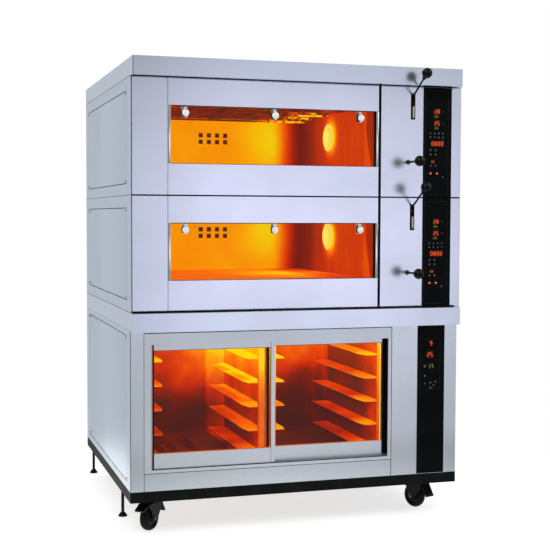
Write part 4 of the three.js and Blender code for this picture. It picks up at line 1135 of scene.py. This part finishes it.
def module_seals():
    """A dark seal between the decks, and dark strips as painted shade on the hood's underside and on the middle
    fascia's top.
    """
    left, right = CAD_BOX[0].x + 0.0035, CAD_BOX[1].x - 0.0035
    panel_side = right - 0.022
    proud = DECK_FRONT - 0.0004
    joint = deck_floor("upper")
    hood_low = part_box("top_hood")[0]
    fascia_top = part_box("middle_fascia")[1].z
    strip(
        "seal_between_decks",
        (left, proud, joint - 0.0026), (right, DECK_FRONT + 0.004, joint + 0.0026), "rubber_black",
    )
    # Painted shade: a dark strip on the hood's underside.
    strip(
        "shade_strip_under_hood",
        (left, (DECK_FRONT + hood_low.y) / 2, hood_low.z - 0.0006),
        (panel_side, proud, hood_low.z), "rubber_black",
    )
    # Painted shade: a dark strip on the middle fascia's top.
    strip(
        "shade_strip_over_fascia",
        (left, DECK_FRONT - 0.012, fascia_top),
        (panel_side, proud, fascia_top + 0.0052), "rubber_black", 0.001,
    )


def joint_lines():
    """Dark joints: round the doorway, down the front corners, and between modules; and a black strip under the
    doors as painted shadow.
    """
    line, proud = 0.0016, 0.0003
    frame_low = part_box("proofer_front_frame")[0]
    track_low, track_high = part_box("proofer_door_track")
    y0, y1 = frame_low.y - proud, frame_low.y + proud
    doorway = Model("doorway_joints", slot="black_plastic")
    for x in (track_low.x - line, track_high.x):
        doorway.box((x, y0, frame_low.z), (x + line, y1, track_high.z + line), "joint_grey", HAIR)
    for z in (track_low.z - line, track_high.z):
        doorway.box((track_low.x, y0, z), (track_high.x, y1, z + line), "joint_grey", HAIR)
    # Painted shadow: a black strip along the sill under both doors.
    grip_low, grip_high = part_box("right_door_grip")
    sill = grip_low.z - 0.001
    doorway.box(
        (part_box("left_door_frame")[0].x - 0.002, track_low.y - proud, sill - 2 * line),
        (grip_high.x + 0.001, track_low.y + proud, sill), "rubber_black", HAIR,
    )
    doorway.done()
    corners = Model("corner_joints", slot="black_plastic")
    for node in ("top_hood", "lower_deck_left_panel", "upper_deck_left_panel", "proofer_front_frame"):
        low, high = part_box(node)
        end = (low.x + line * 1.4, low.y + proud, high.z)
        corners.box((low.x, low.y - proud, low.z), end, "joint_grey", HAIR)
    corners.done()
    casing_low, casing_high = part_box("proofer_casing")
    sides = Model("module_side_joints", slot="black_plastic")
    for node in ("top_hood", "upper_deck_casing", "lower_deck_casing"):
        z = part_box(node)[0].z
        for wall in (casing_low.x, casing_high.x):
            sides.box(
                (wall - proud, DECK_FRONT + 0.002, z - line / 2),
                (wall + proud, casing_high.y - 0.002, z + line / 2), "joint_grey", HAIR,
            )
    sides.done()


def shelf_edges(rack, *outward_sides):
    """The rolled free edge of a rack's tray shelves, on its +X side, its -X side or both, in the brightest
    painted-light copy of the proofer steel.
    """
    low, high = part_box("tray_rack_" + rack)
    front, back = low.y + 0.001, high.y - 0.002
    taper, radius = SHELF["taper"], 0.0011
    model = Model("shelf_edges_" + rack, slot="chamber_steel")
    for outward in outward_sides:
        tip = high.x if outward > 0 else low.x
        for i in range(SHELF["count"]):
            z = SHELF["lowest"] + SHELF["pitch"] * i - 0.0006
            corner = (tip, front + taper.y, z)
            model.rod(corner, (tip, back, z), radius, "shelf_edge", sides=10)
            model.rod((tip - outward * taper.x, front, z), corner, radius, "shelf_edge", sides=10)
    model.done()


# ---- base ----
def castor_axle(corner):
    """Middle of a castor's axle, and the direction in which it runs."""
    roll = JOINTS["castor_roll_" + corner]
    return Vector(roll["pos_m"]), Vector(roll["axis"])


def castor_tyre(corner):
    """Smooth wheel of one castor: a rounded tyre on a dished hub."""
    node = "castor_wheel_" + corner
    low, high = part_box(node)
    axle, across = castor_axle(corner)
    half, bend, steps = 0.016, 0.006, 8
    bore, rim, dish = 0.0056, 0.030, 0.018
    shoulder = (high.z - low.z) / 2 - bend
    tyre = [(rim + 0.003, -half), (shoulder, -half)]
    for i in range(steps + 1):
        angle = math.pi * (i / steps - 0.5)
        along = (half - bend) * (2 * i / steps - 1) + bend * math.sin(angle)
        tyre.append((shoulder + bend * math.cos(angle), along))
    tyre += [(shoulder, half), (rim + 0.003, half), (rim, half - 0.003), (rim, 0.003 - half)]
    hub = [(bore, -half - 0.001), (dish - 0.003, -half - 0.001), (dish, -half + 0.005), (rim, -half + 0.005)]
    hub += [(radius, -along) for radius, along in reversed(hub)]
    wheel = Model("castor_tyre_" + corner, BODY_OF[node], "castor_rubber")
    wheel.turned(tyre, axle, across, "tread_rubber", sides=64, closed=True)
    wheel.turned(hub, axle, across, "plastic_black", sides=48, closed=True)
    wheel.done(node)


def castor_fittings(corner):
    """Axle nuts, swivel race and toe guard of one castor's fork, and the bolts that hold the castor."""
    axle, across = castor_axle(corner)
    kingpin = Vector(JOINTS["castor_swivel_" + corner]["pos_m"])
    nut = [(0, 0), (0.009, 0), (0.009, 0.0030), (0.0078, 0.0042), (0, 0.0042)]
    race = [(0.0345, -0.0110), (0.0375, -0.0095), (0.0375, -0.0035), (0.0345, -0.0020)]
    guard = ((-0.0265, 0.101), (-0.0300, 0.101), (-0.0570, 0.056), (-0.0535, 0.054))
    fork = Model("castor_fittings_" + corner, BODY_OF["castor_fork_" + corner], "castor_steel")
    fork_half, guard_width = 0.0232, 0.040
    for side in (-1, 1):
        fork.turned(nut, axle + across * side * fork_half, across * side, "dark_steel", sides=6)
    fork.turned(race, kingpin, (0, 0, 1), "castor_paint", sides=48, closed=True)
    trail = Vector((axle.x - kingpin.x, axle.y - kingpin.y, 0)).normalized()
    start = Vector((kingpin.x, kingpin.y, 0)) - across * (guard_width / 2)
    guard_points = [start + trail * reach + Vector((0, 0, z)) for reach, z in guard]
    fork.plate(guard_points, across * guard_width, "castor_paint")
    fork.done()
    bolts = Model("castor_bolts_" + corner, slot="castor_steel")
    head = [(0, 0), (0.0075, 0), (0.0075, 0.0045), (0.0065, 0.0055), (0, 0.0055)]
    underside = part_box("base_frame")[0].z
    spacing = 0.040
    for x in (kingpin.x - spacing, kingpin.x + spacing):
        for y in (kingpin.y - spacing, kingpin.y + spacing):
            bolts.turned(head, (x, y, underside), (0, 0, -1), "dark_steel", sides=6)
    bolts.done()


def levelling_foot(corner):
    """Threaded foot with a domed pad, and the lock nut under the frame."""
    node = "levelling_foot_" + corner
    low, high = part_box(node)
    centre = Vector(((low.x + high.x) / 2, (low.y + high.y) / 2, low.z))
    top = high.z - low.z
    pad, stem, pitch = (high.x - low.x) / 2, 0.006, 0.0025
    root = stem - 0.0006
    profile = [(0, 0), (pad - 0.001, 0), (pad, 0.001), (pad, 0.004), (pad - 0.0015, 0.0055)]
    profile += [(stem + 0.006, 0.010), (stem + 0.002, 0.015), (root, 0.018)]
    height = 0.020
    while height < top - pitch:
        profile += [(root, height), (stem, height + pitch / 2)]
        height += pitch
    profile += [(root, top - 0.001), (0, top)]
    model = Model("threaded_foot_" + corner, BODY_OF[node], "black_plastic")
    model.turned(profile, centre, (0, 0, 1), "plastic_black", sides=28)
    model.done(node)
    nut = Model("foot_nut_" + corner, slot="castor_steel")
    bore, tip, flat, nut_height, web = 0.0066, 0.0105, 0.0115, 0.008, 0.004
    hexagon = [(bore, 0), (tip, 0), (flat, 0.001), (flat, nut_height - 0.001), (tip, nut_height)]
    hexagon += [(bore, nut_height)]
    place = (centre.x, centre.y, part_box("base_frame")[0].z + web - nut_height - GAP)
    nut.turned(hexagon, place, (0, 0, 1), "dark_steel", sides=6, closed=True)
    nut.done()


def brake_pads():
    """Ribbed rubber on each brake pedal."""
    for corner in CORNERS[:2]:
        joint = JOINTS["castor_brake_" + corner]
        pivot = Vector(joint["pos_m"])
        across = -Vector(joint["axis"])
        back = Vector((-across.y, across.x, 0))
        model = Model("brake_pad_" + corner, BODY_OF["castor_brake_" + corner], "black_plastic")
        half = across * 0.015
        for i in range(4):
            reach = 0.014 + i * 0.006
            middle = pivot + back * reach + Vector((0, 0, 0.0015 - (reach - 0.010) * 0.5))
            model.rod(middle - half, middle + half, 0.0014, "rubber_black", sides=10)
        model.done()


# ---- studio ----
CAMERA_PLACE = Vector((-1.3165, -4.4756, 1.1300))
CAMERA_PAN, CAMERA_TILT, CAMERA_ROLL = math.radians(-16.98), math.radians(-2.90), math.radians(0.2)
CAMERA_LENS = 75.81
WALL_DIRECTION = Vector((0.310, -0.950, -0.030)).normalized()
WALL_SPREAD = math.radians(14.5)
WALL_WHITE = (1.19, 1.18, 1.42, 1.0)
ROOM_GREY = (0.23, 0.26, 0.23, 1.0)
ROOM_BACK = (0.58, 0.61, 0.65, 1.0)


def camera():
    """The camera in front of the oven, to its left and a little below the hood."""
    data = bpy.data.cameras.new("camera")
    data.lens = CAMERA_LENS
    data.sensor_width = 36.0
    holder = bpy.data.objects.new("camera", data)
    turn = Matrix.Rotation(CAMERA_PAN, 4, "Z") @ Matrix.Rotation(math.pi / 2 + CAMERA_TILT, 4, "X")
    holder.matrix_world = Matrix.Translation(CAMERA_PLACE) @ turn @ Matrix.Rotation(CAMERA_ROLL, 4, "Z")
    bpy.context.scene.collection.objects.link(holder)
    bpy.context.scene.camera = holder


def light(name, kind, place, power, colour=(1.0, 1.0, 1.0)):
    """A lamp of any kind, standing in the scene."""
    data = bpy.data.lights.new(name, kind)
    data.energy = power
    data.color = colour
    holder = bpy.data.objects.new(name, data)
    holder.location = place
    bpy.context.scene.collection.objects.link(holder)
    return holder


def softbox(name, place, target, size, power):
    """A large soft lamp that points at a target."""
    holder = light(name, "AREA", place, power)
    holder.data.shape = "RECTANGLE"
    holder.data.size, holder.data.size_y = size
    holder.rotation_euler = (Vector(target) - Vector(place)).to_track_quat("-Z", "Y").to_euler()


def bulb(name, place, power, radius):
    """A warm lamp that lights the oven but isn't itself seen."""
    holder = light(name, "POINT", place, power, (1.0, 0.50, 0.10))
    holder.data.shadow_soft_size = radius
    holder.visible_camera = False
    holder.visible_glossy = False
    holder.visible_transmission = False


def studio_world():
    """White to the camera; to the oven, a soft grey room with a bright window in front of it."""
    world = bpy.data.worlds.new("studio")
    bpy.context.scene.world = world
    world.use_nodes = True
    s = Nodes(world.node_tree)
    to_camera = s.make("LightPath", {})["Is Camera Ray"]
    direction = s.coordinates.outputs["Generated"]
    lobe = s.vector("DOT_PRODUCT", direction, WALL_DIRECTION, "Value")
    bright = s.spread(lobe, 0.0, 1.0, math.cos(WALL_SPREAD), 1.0, smooth=True)
    grey = s.mix(s.spread(s.axis(direction, "y"), 0.0, 1.0), ROOM_GREY, ROOM_BACK)
    room = s.mix(bright, grey, WALL_WHITE)
    background = s.make("Background", {"Color": s.mix(to_camera, room, WHITE)})
    s.make("OutputWorld", {"Surface": background["Background"]})


def studio_floor():
    """A pale floor that fades out round the oven."""
    s = Shader("studio_floor", emission_color=(0.72, 0.72, 0.72, 1.0), emission_strength=1.0)
    wear = s.noise(1.4, detail=4)
    distance = s.vector("DISTANCE", s.place, (0, 0, 0), "Value")
    s.set(
        base_color=s.tinted((0.60, 0.60, 0.60), 0.98, 1.01, wear),
        roughness=s.spread(wear, 0.6, 0.8),
        alpha=s.spread(distance, 1.0, 0.0, 0.75, 1.6, smooth=True),
    )
    bm = bmesh.new()
    bmesh.ops.create_circle(bm, cap_ends=True, segments=64, radius=3.0)
    mesh = bpy.data.meshes.new("studio_floor")
    bm.to_mesh(mesh)
    bm.free()
    mesh.materials.append(s.material)
    floor = bpy.data.objects.new("studio_floor", mesh)
    floor.location.z = -0.0005
    bpy.context.scene.collection.objects.link(floor)


def lights():
    """Three soft lamps round the oven, and a bulb at each lamp inside it."""
    softbox("key", (-2.6, -3.2, 4.2), (0, 0, 0.8), (3.0, 3.0), 90)
    softbox("fill", (3.4, -2.4, 3.6), (0, 0, 0.8), (3.0, 3.0), 60)
    softbox("back", (0.6, 3.6, 3.8), (0, 0, 1.0), (4.0, 2.5), 60)
    for deck in DECKS:
        bulb(deck + "_lamp", lamp_place(deck) - Vector((0.06, 0, 0)), 0.5, 0.03)
    rack_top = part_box("tray_rack_middle")[1].z
    for name in TUBES_X:
        bulb("proofer_" + name, tube_foot(name) + Vector((0, 0, rack_top - 0.03)), 0.5, 0.02)


finish_cad_nodes()
DECK_PIECES = (
    lever, damper_knob, glass_clamps, slot_bezel, gap_seal, window_trim, deck_controls, lamp_bezel,
    vent_fittings, element_hangers,
)
for deck in DECKS:
    for make in DECK_PIECES:
        make(deck)
side_covers()
back_screws()
proofer_controls()
door_trim()
grip_trim()
for name in TUBES_X:
    tube_lamp(name)
overlap_shadow_brush()
module_seals()
joint_lines()
shelf_edges("left", 1)
shelf_edges("middle", -1, 1)
shelf_edges("right", -1)
for corner in CORNERS:
    castor_tyre(corner)
    castor_fittings(corner)
    levelling_foot(corner)
brake_pads()
studio_world()
studio_floor()
lights()
camera()
bpy.context.scene.view_settings.view_transform = "Standard"
